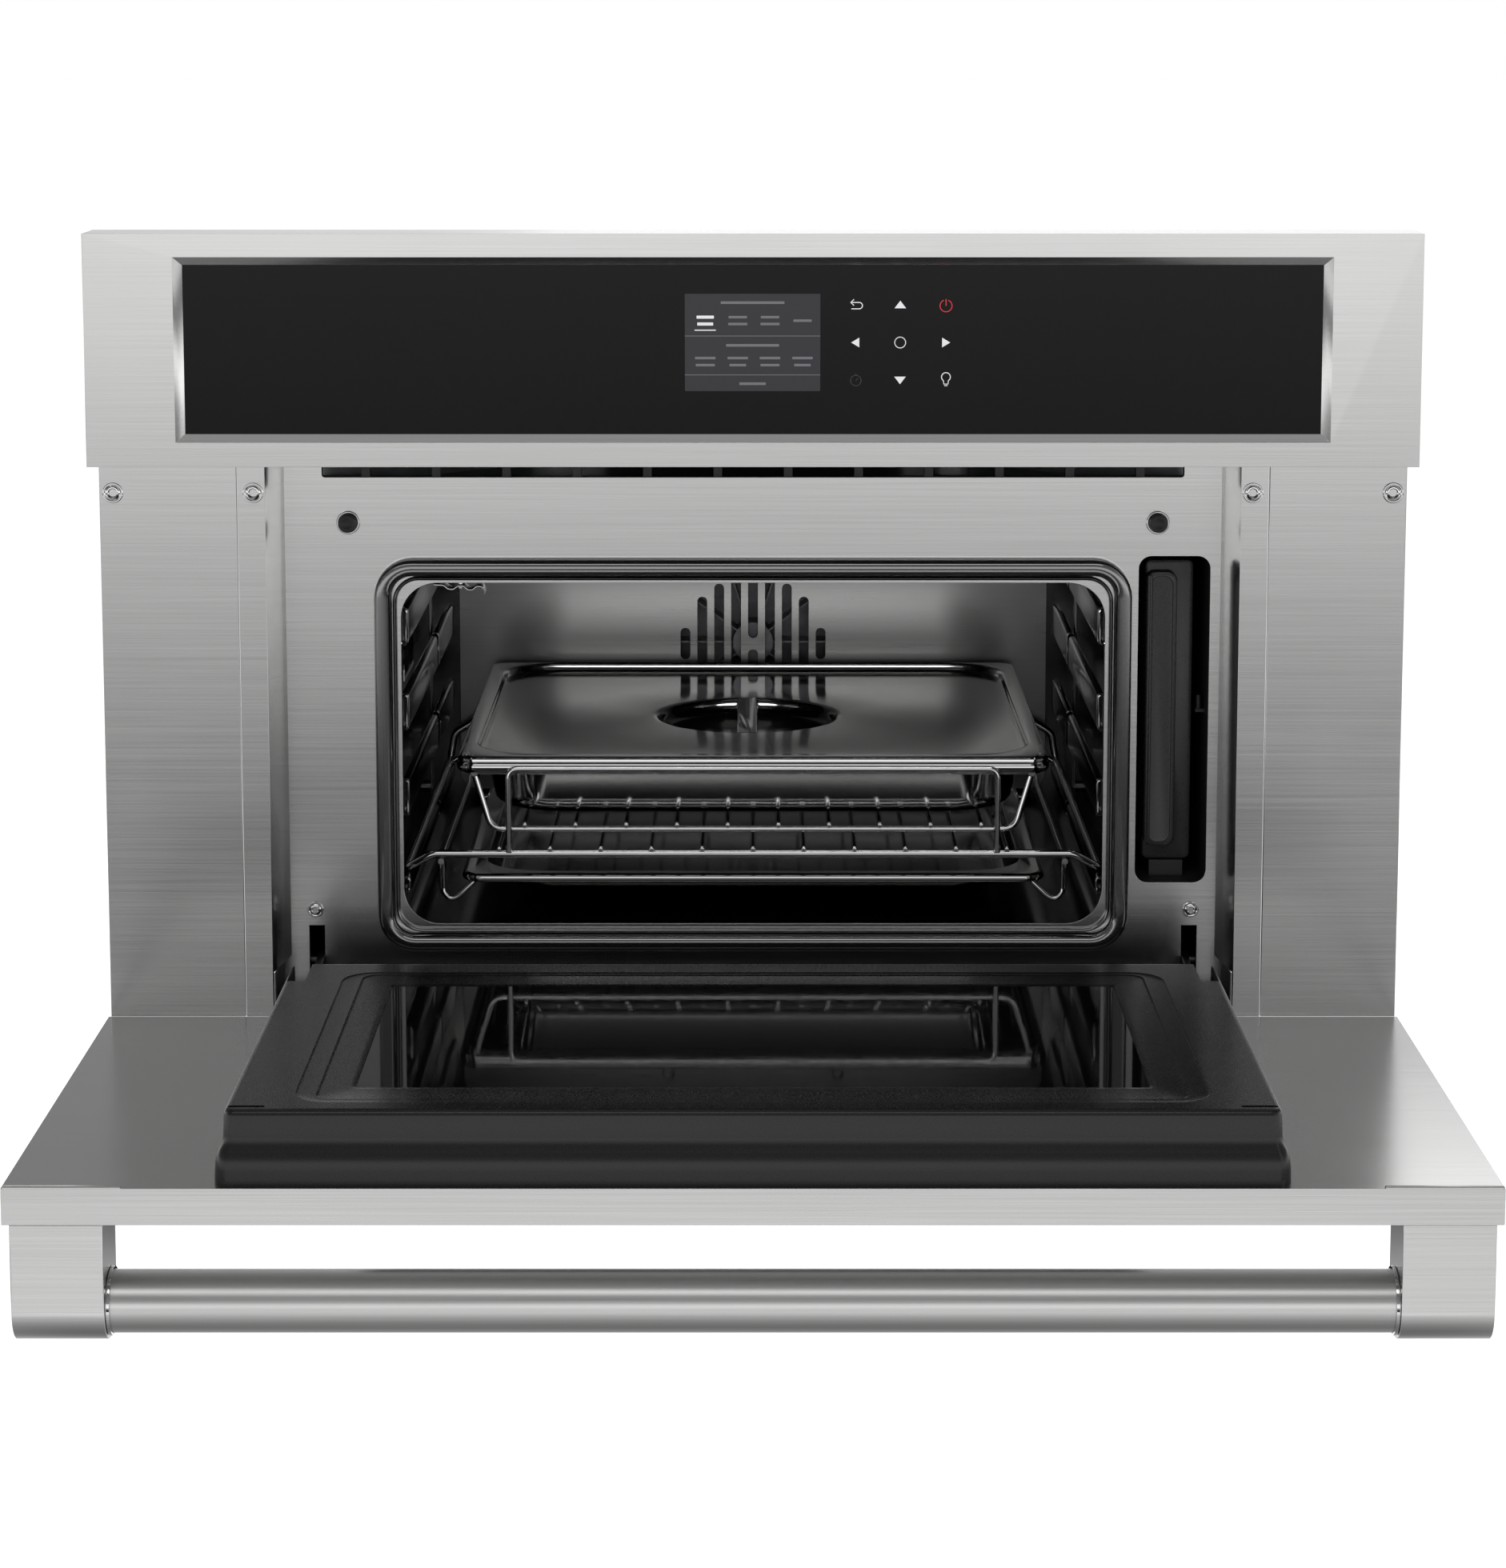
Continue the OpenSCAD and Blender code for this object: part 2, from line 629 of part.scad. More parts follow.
// Two rails keep the panes apart.
module glass_rails() color(galvanised) mirrored_pair() difference() {
    block([206, window_y[0] - 8, skin_low + sheet + 4], [222, window_y[1] + 8, 33.4]);
    block([208, window_y[0] - 20, 0], [215, window_y[1] + 20, 34]);
    block([205, window_y[0] - 20, 13.9], [215, window_y[1] + 20, 17.1]);
}

module handle_bar() color(steel) difference() {
    pin_x(-bracket_x[0], bracket_x[0], bar_y, bar_z, bar_r);
    pin_x(-bracket_x[0] - 1, bracket_x[0] + 1, bar_y, bar_z, bar_r - 2);
}

module handle_bracket() color(steel) difference() {
    along_x(bracket_x[0], bracket_x[1] - bracket_x[0]) {
        translate([door_front, bar_z]) square([2 * bracket_r, skin_low - bar_z]);
        translate([bar_y, bar_z]) circle(bracket_r);
    }
    for (x = screw_x) translate([x, bar_y, skin_low - 12]) cylinder(r = 2.4, h = 13);
}
module handle_bracket_right() handle_bracket();
module handle_bracket_left() mirror([1, 0, 0]) handle_bracket();

module handle_screws() color([0.5, 0.5, 0.5]) mirrored_pair() for (x = screw_x) translate([x, bar_y, 0]) {
    translate([0, 0, skin_low - 10]) cylinder(r = 2.35, h = 12);
    translate([0, 0, skin_low + sheet]) cylinder(r = 5, h = 2.5);
}

// ---- accessories --------------------------------------------------------------------

// Half of the rack's frame. Welded wires lie a hair apart, each a solid of its own.
cradle_r = 1.9;
post_r = 2.2;
hook_r = 1.7;
hoop_y = 94.9;
module rack_half() {
    // Front wire, sloping down to the side wire that rides on the lowest rail, and the rear guard.
    tube([[0.01, rack_y[0], rack_z], [196, rack_y[0], rack_z], [211, rack_y[0], 66.6],
          [211, rack_y[1], 66.6], [208, rack_y[1], 85], [192, rack_y[1], 95], [0.01, rack_y[1], 95]], frame_wire_r);
    tube([[0.01, 418, rack_z], [196, 418, rack_z], [208, 418, 67.5]], 2);
    rod([190.5, 95, 70.4], [190.5, 420, 70.4], cradle_r);
    // Hooks that hold the lower pan by its rim.
    for (y = [104, 400])
        tube([[190.5, y, 68.3], [190.5, y, 50], [187, y, 45.5], [182, y, 46.5], [171, y, 56]], hook_r);
    // The cradle for the upper pan: a U of wire at each end, side wires, a hoop in
    // front of the lid and a post at the back.
    for (y = [101, 416])
        tube([[0.01, y, 89.5], [160, y, 89.5], [169.5, y, 122.4]], cradle_r);
    tube([[149, hoop_y, 77.8], [149, hoop_y, 128], [0.01, hoop_y, 128]], cradle_r);
    rod([149, 416, 77.8], [149, 416, 87.5], post_r);
    rod([170, 99, 124.8], [170, 418, 124.8], post_r);
}

module wire_rack() color(chrome_wire) {
    mirrored_pair() rack_half();
    for (k = [-5:5])
        rod([wire_pitch * k, rack_y[0] - 2, 79.2], [wire_pitch * k, 420, 79.2], wire_r);
    for (k = [-5:4])
        rod([wire_pitch * (k + 0.5), 99.5, 93], [wire_pitch * (k + 0.5), 418, 93], wire_r);
}

// A pan: a basin with a flat rim. z0 is the underside, z1 the top of the rim.
module pan(z0, z1) {
    mid = (pan_y[0] + pan_y[1]) / 2;
    deep = pan_y[1] - pan_y[0];
    difference() {
        union() {
            translate([0, mid, z0]) linear_extrude(z1 - z0) rounded(326, deep - 28, 36);
            translate([0, mid, z1 - 1]) linear_extrude(1) rounded(2 * pan_half, deep, 12);
        }
        translate([0, mid, z0 + 1]) linear_extrude(z1) rounded(324, deep - 30, 35);
    }
}

module upper_pan() color(chrome_wire) pan(94.8, rim_z);
module lower_pan() color(chrome_wire) pan(44, 61);

// The lid's flat border lies on the rim, and its middle sinks into the pan as a tray.
module pan_lid() color(chrome_wire) {
    mid = (pan_y[0] + pan_y[1]) / 2;
    deep = pan_y[1] - pan_y[0] + 4;
    difference() {
        union() {
            difference() {
                translate([0, mid, 125.2]) linear_extrude(9) rounded(362, deep, 13);
                translate([0, mid, 124]) linear_extrude(5) rounded(359.4, deep - 2.6, 11.7);
            }
            translate([0, mid, 125.4]) linear_extrude(5) rounded(322, 299, 34.5);
        }
        translate([0, mid, 126.7]) linear_extrude(8) rounded(319.4, 296.4, 33.2);
    }
}

base_pan();
side_panel_left();
side_panel_right();
top_cover();
rear_cover();
trim_flange_left();
trim_flange_right();
frame_cheek_left();
frame_cheek_right();
front_frame();
vent_grille();
door_bumpers();
control_fascia();
control_glass();
display_module();
control_board();
cavity_shell();
cavity_gasket();
insulation_wrap();
fan_cover();
shelf_ladder_left();
shelf_ladder_right();
steam_sensor();
oven_lamp();
ring_heater();
fan_motor();
fan_wheel();
blower_housing();
blower_wheel();
blower_motor();
air_duct();
exhaust_pipe();
tank_housing();
tank_coupling();
water_tank();
water_pump();
supply_hose();
steam_generator();
steam_pipe();
terminal_box();
hinge_bracket_left();
hinge_bracket_right();
hinge_links();
hinge_channels();
hinge_pins();
hinge_springs();
door_skin();
door_liner();
inner_glass();
middle_glass();
outer_glass();
glass_rails();
handle_bar();
handle_bracket_left();
handle_bracket_right();
handle_screws();
wire_rack();
upper_pan();
pan_lid();
lower_pan();
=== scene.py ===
# %% [markdown]
# # A built-in combi steamer oven, finished in Blender
#
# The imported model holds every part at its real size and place. This lesson gives those parts
# their looks. A part whose simple solid is already right keeps its mesh and gets a material.
# A part with soft bends, pressings or wire is built again here, in the same space, and stands
# for the plain solid. All lengths in the file are metres, written with mm() where a maker
# would say millimetres.

# %% Load the model
import math

import bmesh
import bpy
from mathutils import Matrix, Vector


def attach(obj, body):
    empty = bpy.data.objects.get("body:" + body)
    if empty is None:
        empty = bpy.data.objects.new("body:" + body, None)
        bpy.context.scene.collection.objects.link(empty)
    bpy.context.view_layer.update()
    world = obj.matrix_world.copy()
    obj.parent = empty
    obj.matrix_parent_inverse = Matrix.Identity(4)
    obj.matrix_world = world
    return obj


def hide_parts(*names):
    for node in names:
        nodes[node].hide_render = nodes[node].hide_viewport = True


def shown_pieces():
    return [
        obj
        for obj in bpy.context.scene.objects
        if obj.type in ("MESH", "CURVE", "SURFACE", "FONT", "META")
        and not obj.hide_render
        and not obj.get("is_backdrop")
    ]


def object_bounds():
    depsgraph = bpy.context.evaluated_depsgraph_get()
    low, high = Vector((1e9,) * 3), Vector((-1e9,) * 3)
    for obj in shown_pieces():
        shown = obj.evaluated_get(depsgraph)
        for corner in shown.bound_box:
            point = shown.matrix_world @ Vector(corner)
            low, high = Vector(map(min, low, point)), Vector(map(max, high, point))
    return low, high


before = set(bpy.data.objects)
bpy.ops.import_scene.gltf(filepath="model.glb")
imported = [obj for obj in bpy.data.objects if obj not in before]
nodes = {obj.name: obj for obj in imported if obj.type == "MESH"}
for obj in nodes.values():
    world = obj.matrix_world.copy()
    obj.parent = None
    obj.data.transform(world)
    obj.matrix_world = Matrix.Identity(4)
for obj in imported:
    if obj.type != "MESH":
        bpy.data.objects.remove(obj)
cad_low, cad_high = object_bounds()
scene = bpy.context.scene
print("nodes:", len(nodes), "size:", [round(b - a, 3) for a, b in zip(cad_low, cad_high)])


def mm(value):
    """Millimetres to metres."""
    return value * 0.001


# %% [markdown]
# ## Camera and light
#
# The oven is seen from straight ahead and from above the control panel, so the open door shows
# its inner face. A lens that looks level would need a very large shift, and views from other
# sides would lose the oven. A small shift with a slight tilt keeps nearly the same view.
#
# Stainless steel has almost no colour of its own: it shows what is around it. So the room is a
# gradient from bottom to top, bright round the horizon and dark above, with one dark band below
# the horizon. The long tones on the steel come from that gradient, and soft lamps shape the rest.
# The floor is pale when seen directly, lights the oven less than it seems to, and is left out of
# reflections, so that the steel shows the room instead.

# %% Camera
camera_data = bpy.data.cameras.new("camera")
camera_data.sensor_fit = "AUTO"
camera_data.sensor_width = 36.0
camera_data.lens = 86.6
camera_data.shift_y = -0.18
camera_data.clip_end = 50.0
tilt_down = 7.62
camera = bpy.data.objects.new("camera", camera_data)
scene.collection.objects.link(camera)
camera.location = (0.0, mm(-2159.4), mm(593.8))
camera.rotation_euler = (math.radians(90.0 - tilt_down), 0.0, 0.0)
scene.camera = camera
print("camera at", [round(v, 3) for v in camera.location])

# %% Floor, world and lamps
floor_z = cad_low.z - mm(250)
floor_half = 40.0


def new_material(name):
    """A material with only its Principled shader and output, and the tools to add to it."""
    material = bpy.data.materials.new(name)
    material.use_nodes = True
    tree = material.node_tree
    return material, tree, tree.nodes["Principled BSDF"]


floor_mesh = bpy.data.meshes.new("floor")
corners = [(x * floor_half, y * floor_half, floor_z) for x, y in ((-1, -1), (1, -1), (1, 1), (-1, 1))]
floor_mesh.from_pydata(corners, [], [(0, 1, 2, 3)])
floor = bpy.data.objects.new("floor", floor_mesh)
scene.collection.objects.link(floor)
floor_material, tree, floor_shader = new_material("pale_floor")
floor_shader.inputs["Base Color"].default_value = (0.93, 0.93, 0.93, 1)
floor_shader.inputs["Roughness"].default_value = 0.9
floor_shader.inputs["Emission Color"].default_value = (1, 1, 1, 1)
clear = tree.nodes.new("ShaderNodeBsdfTransparent")
choice = tree.nodes.new("ShaderNodeMixShader")
rays = tree.nodes.new("ShaderNodeLightPath")
glow = tree.nodes.new("ShaderNodeMapRange")
glow.inputs["To Min"].default_value = 0.45  # the light it gives
glow.inputs["To Max"].default_value = 0.88  # the light it shows
tree.links.new(rays.outputs["Is Camera Ray"], glow.inputs["Value"])
tree.links.new(glow.outputs["Result"], floor_shader.inputs["Emission Strength"])
tree.links.new(rays.outputs["Is Glossy Ray"], choice.inputs[0])
tree.links.new(floor_shader.outputs[0], choice.inputs[1])
tree.links.new(clear.outputs[0], choice.inputs[2])
tree.links.new(choice.outputs[0], tree.nodes["Material Output"].inputs["Surface"])
floor_mesh.materials.append(floor_material)
floor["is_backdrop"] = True

world = bpy.data.worlds.new("studio")
scene.world = world
world.use_nodes = True
room = world.node_tree
direction = room.nodes.new("ShaderNodeTexCoord")
parts = room.nodes.new("ShaderNodeSeparateXYZ")
room.links.new(direction.outputs["Generated"], parts.inputs[0])
height = room.nodes.new("ShaderNodeMapRange")
height.inputs["From Min"].default_value = -1.0
room.links.new(parts.outputs["Z"], height.inputs["Value"])
tones = room.nodes.new("ShaderNodeValToRGB")
room.links.new(height.outputs["Result"], tones.inputs["Fac"])
# Height in the room, from straight down (0) to straight up (1), and its brightness there.
stops = [(0.0, 0.20), (0.24, 0.70), (0.328, 1.35), (0.342, 0.02), (0.400, 0.03),
         (0.44, 0.88), (0.47, 1.55), (0.54, 1.30), (0.58, 0.30), (1.0, 0.10)]
elements = tones.color_ramp.elements
elements[0].color = (*[stops[0][1]] * 3, 1)
elements[1].color = (*[stops[-1][1]] * 3, 1)
for where, tone in stops[1:-1]:
    elements.new(where).color = (tone, tone, tone, 1)
seen = room.nodes.new("ShaderNodeLightPath")
pick = room.nodes.new("ShaderNodeMix")
pick.data_type = "RGBA"
room.links.new(seen.outputs["Is Camera Ray"], pick.inputs["Factor"])
room.links.new(tones.outputs["Color"], pick.inputs["A"])
pick.inputs["B"].default_value = (1, 1, 1, 1)
room.links.new(pick.outputs["Result"], room.nodes["Background"].inputs["Color"])


def soft_panel(name, place, aim, size, power):
    """A rectangular area lamp that faces the point aim."""
    data = bpy.data.lights.new(name, "AREA")
    data.shape = "RECTANGLE"
    data.size, data.size_y = size
    data.energy = power
    lamp = bpy.data.objects.new(name, data)
    scene.collection.objects.link(lamp)
    lamp.location = place
    lamp.rotation_euler = (Vector(aim) - Vector(place)).to_track_quat("-Z", "Y").to_euler()
    return lamp


# The last lamp is the oven's own: a thin strip just behind the opening's top edge.
aim = (0.0, 0.0, 0.2)
soft_panel("key", (-0.3, -2.3, 2.3), aim, (3.0, 0.7), 12)
soft_panel("fill", (2.2, -1.8, 1.0), aim, (0.8, 1.4), 2)
soft_panel("top", (0.0, -0.4, 2.4), (0.0, 0.0, 0.3), (2.4, 1.4), 3)
soft_panel("back", (0.6, 2.6, 1.6), aim, (2.0, 1.4), 14)
oven_light = soft_panel("oven_light", (0.0, mm(75), mm(247)), (0.0, 0.42, 0.12), (0.38, 0.02), 0.22)
oven_light.visible_camera = False
scene.view_settings.view_transform = "Standard"

# %% [markdown]
# ## Effects that several finishes share
#
# Brushed steel, enamel, chrome and plastic all need small changes over their surface. Each
# effect is a node group with named inputs: the finish sets its own scale and strength. The
# groups give only masks and heights. The shader itself stays in the material.
#
# Brushing is noise that is squeezed hard across the direction of the strokes, so it becomes
# long thin lines. A second, softer noise makes some of the lines stand out from the others.

# %% Group: brushed lines
def new_group(name, inputs, outputs):
    """An empty shader group. inputs are (name, kind, default); outputs are (name, kind)."""
    group = bpy.data.node_groups.new(name, "ShaderNodeTree")
    kinds = {"float": "NodeSocketFloat", "vector": "NodeSocketVector", "color": "NodeSocketColor"}
    for label, kind, default in inputs:
        socket = group.interface.new_socket(name=label, in_out="INPUT", socket_type=kinds[kind])
        socket.default_value = default
    for label, kind in outputs:
        group.interface.new_socket(name=label, in_out="OUTPUT", socket_type=kinds[kind])
    return group, group.nodes.new("NodeGroupInput"), group.nodes.new("NodeGroupOutput")


def add(tree, kind, **settings):
    """A node of that kind, with its plain settings."""
    node = tree.nodes.new(kind)
    for key, value in settings.items():
        setattr(node, key, value)
    return node


def feed(tree, socket, value):
    """Give a socket a plain value, or a link from another socket."""
    if isinstance(value, (int, float, tuple)):
        socket.default_value = value
    else:
        tree.links.new(value, socket)


def math_node(tree, operation, a, b, kind="ShaderNodeMath"):
    """A Math node fed by two values or sockets. Returns its output."""
    node = add(tree, kind, operation=operation)
    feed(tree, node.inputs[0], a)
    feed(tree, node.inputs[1], b)
    return node.outputs[0]


def vector_node(tree, operation, a, b=(0, 0, 0)):
    """The same with vectors."""
    return math_node(tree, operation, a, b, "ShaderNodeVectorMath")


def stretched_noise(tree, coordinates, stretch, scale, detail):
    """Noise over coordinates multiplied by stretch. Returns its value."""
    noise = add(tree, "ShaderNodeTexNoise")
    feed(tree, noise.inputs["Vector"], vector_node(tree, "MULTIPLY", coordinates, stretch))
    feed(tree, noise.inputs["Scale"], scale)
    feed(tree, noise.inputs["Detail"], detail)
    return noise.outputs["Fac"]


brushed_group, given, result = new_group(
    "brushed_lines",
    [("Stretch", "vector", (1.0, 60.0, 60.0)), ("Scale", "float", 30.0), ("Streaks", "float", 0.20)],
    [("Lines", "float"), ("Height", "float")])
position = add(brushed_group, "ShaderNodeTexCoord").outputs["Object"]
fine = stretched_noise(brushed_group, position, given.outputs["Stretch"], given.outputs["Scale"], 3.0)
broad_scale = math_node(brushed_group, "MULTIPLY", given.outputs["Scale"], 0.13)
broad = stretched_noise(brushed_group, position, given.outputs["Stretch"], broad_scale, 2.0)
broad_part = math_node(brushed_group, "MULTIPLY", broad, given.outputs["Streaks"])
total = math_node(brushed_group, "ADD", fine, broad_part)
brushed_group.links.new(total, result.inputs["Lines"])
brushed_group.links.new(fine, result.inputs["Height"])

# %% Group: handling marks
handling_group, given, result = new_group(
    "handling_marks",
    [("Scale", "float", 6.0), ("Amount", "float", 0.5)],
    [("Mask", "float")])
position = add(handling_group, "ShaderNodeTexCoord").outputs["Object"]
cloud = stretched_noise(handling_group, position, (1.0, 1.0, 1.0), given.outputs["Scale"], 4.0)
ramp = add(handling_group, "ShaderNodeMapRange", interpolation_type="SMOOTHSTEP")
handling_group.links.new(cloud, ramp.inputs["Value"])
ramp.inputs["From Min"].default_value = 0.42
ramp.inputs["From Max"].default_value = 0.72
marks = math_node(handling_group, "MULTIPLY", ramp.outputs["Result"], given.outputs["Amount"])
handling_group.links.new(marks, result.inputs["Mask"])

# %% Group: fine grain
grain_group, given, result = new_group(
    "fine_grain",
    [("Scale", "float", 900.0), ("Softness", "float", 0.5)],
    [("Grain", "float"), ("Height", "float")])
position = add(grain_group, "ShaderNodeTexCoord").outputs["Object"]
speckle = stretched_noise(grain_group, position, (1.0, 1.0, 1.0), given.outputs["Scale"], 2.0)
half_scale = math_node(grain_group, "MULTIPLY", given.outputs["Scale"], 0.31)
coarse = stretched_noise(grain_group, position, (1.0, 1.0, 1.0), half_scale, 2.0)
soft_part = math_node(grain_group, "MULTIPLY", coarse, given.outputs["Softness"])
grain_total = math_node(grain_group, "ADD", speckle, soft_part)
grain_group.links.new(grain_total, result.inputs["Height"])
grain_group.links.new(speckle, result.inputs["Grain"])
print("groups:", [g.name for g in bpy.data.node_groups])

# %% [markdown]
# ## Finishes
#
# One function makes every metal: the groups above vary its colour and roughness, and a small
# bump follows the brushing. What differs between a brushed panel, a pressed pan and drawn wire
# is only the direction of the lines, the roughness and how dark the metal is.

# %% Metals
def place_group(tree, group, **values):
    """A group in a material, with its own values for the inputs named."""
    node = add(tree, "ShaderNodeGroup", node_tree=group)
    for key, value in values.items():
        node.inputs[key.replace("_", " ")].default_value = value
    return node


def blend_colors(tree, factor, dark, light):
    """Mix two plain colours by a mask. Returns the colour."""
    mix = add(tree, "ShaderNodeMix", data_type="RGBA")
    tree.links.new(factor, mix.inputs["Factor"])
    mix.inputs["A"].default_value = (*dark, 1)
    mix.inputs["B"].default_value = (*light, 1)
    return mix.outputs["Result"]


def mapped(tree, value, low, high, start=0.0, end=1.0):
    """The value's range start..end moved to low..high."""
    node = add(tree, "ShaderNodeMapRange")
    tree.links.new(value, node.inputs["Value"])
    for label, number in (("From Min", start), ("From Max", end), ("To Min", low), ("To Max", high)):
        node.inputs[label].default_value = number
    return node.outputs["Result"]


def bump(tree, height, strength, distance):
    """A Bump node over the height. Returns its normal."""
    node = add(tree, "ShaderNodeBump")
    node.inputs["Strength"].default_value = strength
    node.inputs["Distance"].default_value = distance
    tree.links.new(height, node.inputs["Height"])
    return node.outputs["Normal"]


def metal(name, dark, light, rough, stretch=(1.0, 1.0, 1.0), scale=30.0, depth=0.05, marks=0.3):
    """A metal whose strokes run along the axis that stretch leaves at 1."""
    material, tree, shader = new_material(name)
    lines = place_group(tree, brushed_group, Stretch=stretch, Scale=scale)
    hands = place_group(tree, handling_group, Scale=5.0, Amount=marks)
    tone = mapped(tree, lines.outputs["Lines"], 0.0, 1.0, 0.35, 0.95)
    tree.links.new(blend_colors(tree, tone, dark, light), shader.inputs["Base Color"])
    base_rough = mapped(tree, lines.outputs["Lines"], rough[0], rough[1], 0.35, 0.95)
    smudged = math_node(tree, "MULTIPLY", hands.outputs["Mask"], 0.10)
    tree.links.new(math_node(tree, "ADD", base_rough, smudged), shader.inputs["Roughness"])
    tree.links.new(bump(tree, lines.outputs["Height"], depth, mm(0.05)), shader.inputs["Normal"])
    shader.inputs["Metallic"].default_value = 1.0
    return material


along_x = (1.0, 220.0, 220.0)
along_y = (220.0, 1.0, 220.0)
steel_x = metal("brushed_steel", (0.57, 0.57, 0.565), (0.66, 0.66, 0.655), (0.20, 0.23),
                along_x, scale=8.0, depth=0.004, marks=0.2)
bar_steel = metal("satin_bar", (0.57, 0.57, 0.565), (0.63, 0.63, 0.625), (0.30, 0.35),
                  along_x, scale=8.0, depth=0.01)
galvanised = metal("galvanised_sheet", (0.36, 0.37, 0.38), (0.50, 0.51, 0.52), (0.36, 0.52), scale=40.0)
cavity_steel = metal("cavity_sheet", (0.085, 0.085, 0.083), (0.105, 0.105, 0.103), (0.13, 0.18),
                     along_x, scale=6.0, depth=0.0)
pan_steel = metal("pressed_pan_steel", (0.54, 0.54, 0.535), (0.58, 0.58, 0.575), (0.08, 0.11),
                  (1.0, 2.0, 2.0), scale=4.0, depth=0.0, marks=0.15)
chrome = metal("bright_wire", (0.60, 0.60, 0.60), (0.70, 0.70, 0.70), (0.06, 0.12), scale=60.0, depth=0.0)
dark_steel = metal("black_zinc", (0.045, 0.045, 0.048), (0.10, 0.10, 0.105), (0.32, 0.48), scale=80.0)
aluminium = metal("mill_aluminium", (0.48, 0.48, 0.49), (0.58, 0.58, 0.59), (0.30, 0.42),
                  along_y, scale=10.0)


# %% Plastics, rubber, enamel and glass
def moulded(name, dark, light, rough, scale=900.0, depth=0.15, coat=0.0, marks=0.2, gloss=0.5):
    """A non-metal with a fine grain, faint marks and an optional clear top layer."""
    material, tree, shader = new_material(name)
    grain = place_group(tree, grain_group, Scale=scale)
    hands = place_group(tree, handling_group, Scale=7.0, Amount=marks)
    tree.links.new(blend_colors(tree, grain.outputs["Grain"], dark, light), shader.inputs["Base Color"])
    base_rough = mapped(tree, grain.outputs["Grain"], rough[0], rough[1], 0.3, 0.7)
    smudged = math_node(tree, "MULTIPLY", hands.outputs["Mask"], 0.12)
    tree.links.new(math_node(tree, "ADD", base_rough, smudged), shader.inputs["Roughness"])
    tree.links.new(bump(tree, grain.outputs["Height"], depth, mm(0.06)), shader.inputs["Normal"])
    shader.inputs["Specular IOR Level"].default_value = gloss
    shader.inputs["Coat Weight"].default_value = coat
    shader.inputs["Coat Roughness"].default_value = 0.08
    return material


black_plastic = moulded("black_moulding", (0.010, 0.010, 0.011), (0.022, 0.022, 0.023), (0.42, 0.56))
tank_plastic = moulded("smoked_tank", (0.030, 0.030, 0.031), (0.046, 0.046, 0.048), (0.24, 0.34))
rubber = moulded("gasket_rubber", (0.006, 0.006, 0.006), (0.012, 0.012, 0.012), (0.20, 0.26),
                 scale=500.0, depth=0.0, coat=1.0, gloss=1.0)
rubber.node_tree.nodes["Principled BSDF"].inputs["Coat IOR"].default_value = 2.3
hose_rubber = moulded("silicone_hose", (0.62, 0.62, 0.60), (0.76, 0.76, 0.74), (0.40, 0.50))
felt = moulded("glass_felt", (0.52, 0.46, 0.30), (0.76, 0.70, 0.50), (0.85, 0.95), scale=260.0, depth=0.8)
board_green = moulded("circuit_board", (0.010, 0.10, 0.045), (0.016, 0.16, 0.07), (0.28, 0.40), scale=300.0)
enamel = moulded("black_enamel", (0.007, 0.007, 0.0075), (0.012, 0.012, 0.0125), (0.24, 0.30),
                 scale=1400.0, depth=0.05, coat=0.05, gloss=0.38)
panel_glass = moulded("dark_glass", (0.006, 0.006, 0.0065), (0.008, 0.008, 0.0085), (0.04, 0.07),
                      scale=200.0, depth=0.0, marks=0.1, gloss=0.12)
# Dark opaque glass: the outer pane's tint, and on the inner pane painted shade for the unlit door behind it.
tint_and_shade_glass = moulded("tinted_pane", (0.004, 0.004, 0.0042), (0.006, 0.006, 0.0062), (0.02, 0.05),
                     scale=200.0, depth=0.0, marks=0.1)


def clear_pane(name, tint):
    """Clear glass: only its roughness and a faint smear change over the surface."""
    material, tree, shader = new_material(name)
    hands = place_group(tree, handling_group, Scale=4.0, Amount=0.6)
    tree.links.new(mapped(tree, hands.outputs["Mask"], 0.02, 0.10), shader.inputs["Roughness"])
    shader.inputs["Base Color"].default_value = (*tint, 1)
    shader.inputs["Transmission Weight"].default_value = 1.0
    shader.inputs["IOR"].default_value = 1.5
    return material


pane = clear_pane("clear_pane", (0.80, 0.84, 0.82))


def lit(name, color, strength):
    """A printed mark or screen that glows faintly, with a fine grid like a display's."""
    material, tree, shader = new_material(name)
    grain = place_group(tree, grain_group, Scale=1500.0)
    dim = tuple(c * 0.86 for c in color)
    glow_color = blend_colors(tree, grain.outputs["Grain"], dim, color)
    tree.links.new(glow_color, shader.inputs["Emission Color"])
    shader.inputs["Base Color"].default_value = (*[c * 0.3 for c in color], 1)
    shader.inputs["Emission Strength"].default_value = strength
    shader.inputs["Roughness"].default_value = 0.3
    return material


white_print = lit("white_legend", (0.85, 0.86, 0.88), 0.75)
grey_print = lit("grey_legend", (0.22, 0.22, 0.24), 0.5)
red_print = lit("red_legend", (0.80, 0.05, 0.07), 0.6)
faint_print = lit("faint_legend", (0.09, 0.09, 0.095), 0.3)
screen_back = lit("screen", (0.030, 0.028, 0.036), 0.45)
print("materials:", len(bpy.data.materials))

# %% [markdown]
# ## Rings: one tool for pressed and folded sheet
#
# Almost every sheet part of an oven is an outline that changes step by step: a lid goes from
# its edge over a flat border and down into a tray. So the main tool here joins closed rings of
# points with faces. Each ring has the same number of points, which gives clean bands of quads.
# A fold's roundness is two or three rings close together. Fine edges on the plain solids come
# from the Bevel modifier on a copy of their mesh.

# %% Tools: rings
def round_rect(half_w, half_h, radius, steps=9):
    """Points of a rectangle with round corners, in mm, going round its centre."""
    points = []
    for sx, sy, start in ((1, 1, 0), (-1, 1, 90), (-1, -1, 180), (1, -1, 270)):
        for i in range(steps + 1):
            angle = math.radians(start + 90 * i / steps)
            points.append((sx * (half_w - radius) + radius * math.cos(angle),
                           sy * (half_h - radius) + radius * math.sin(angle)))
    return points


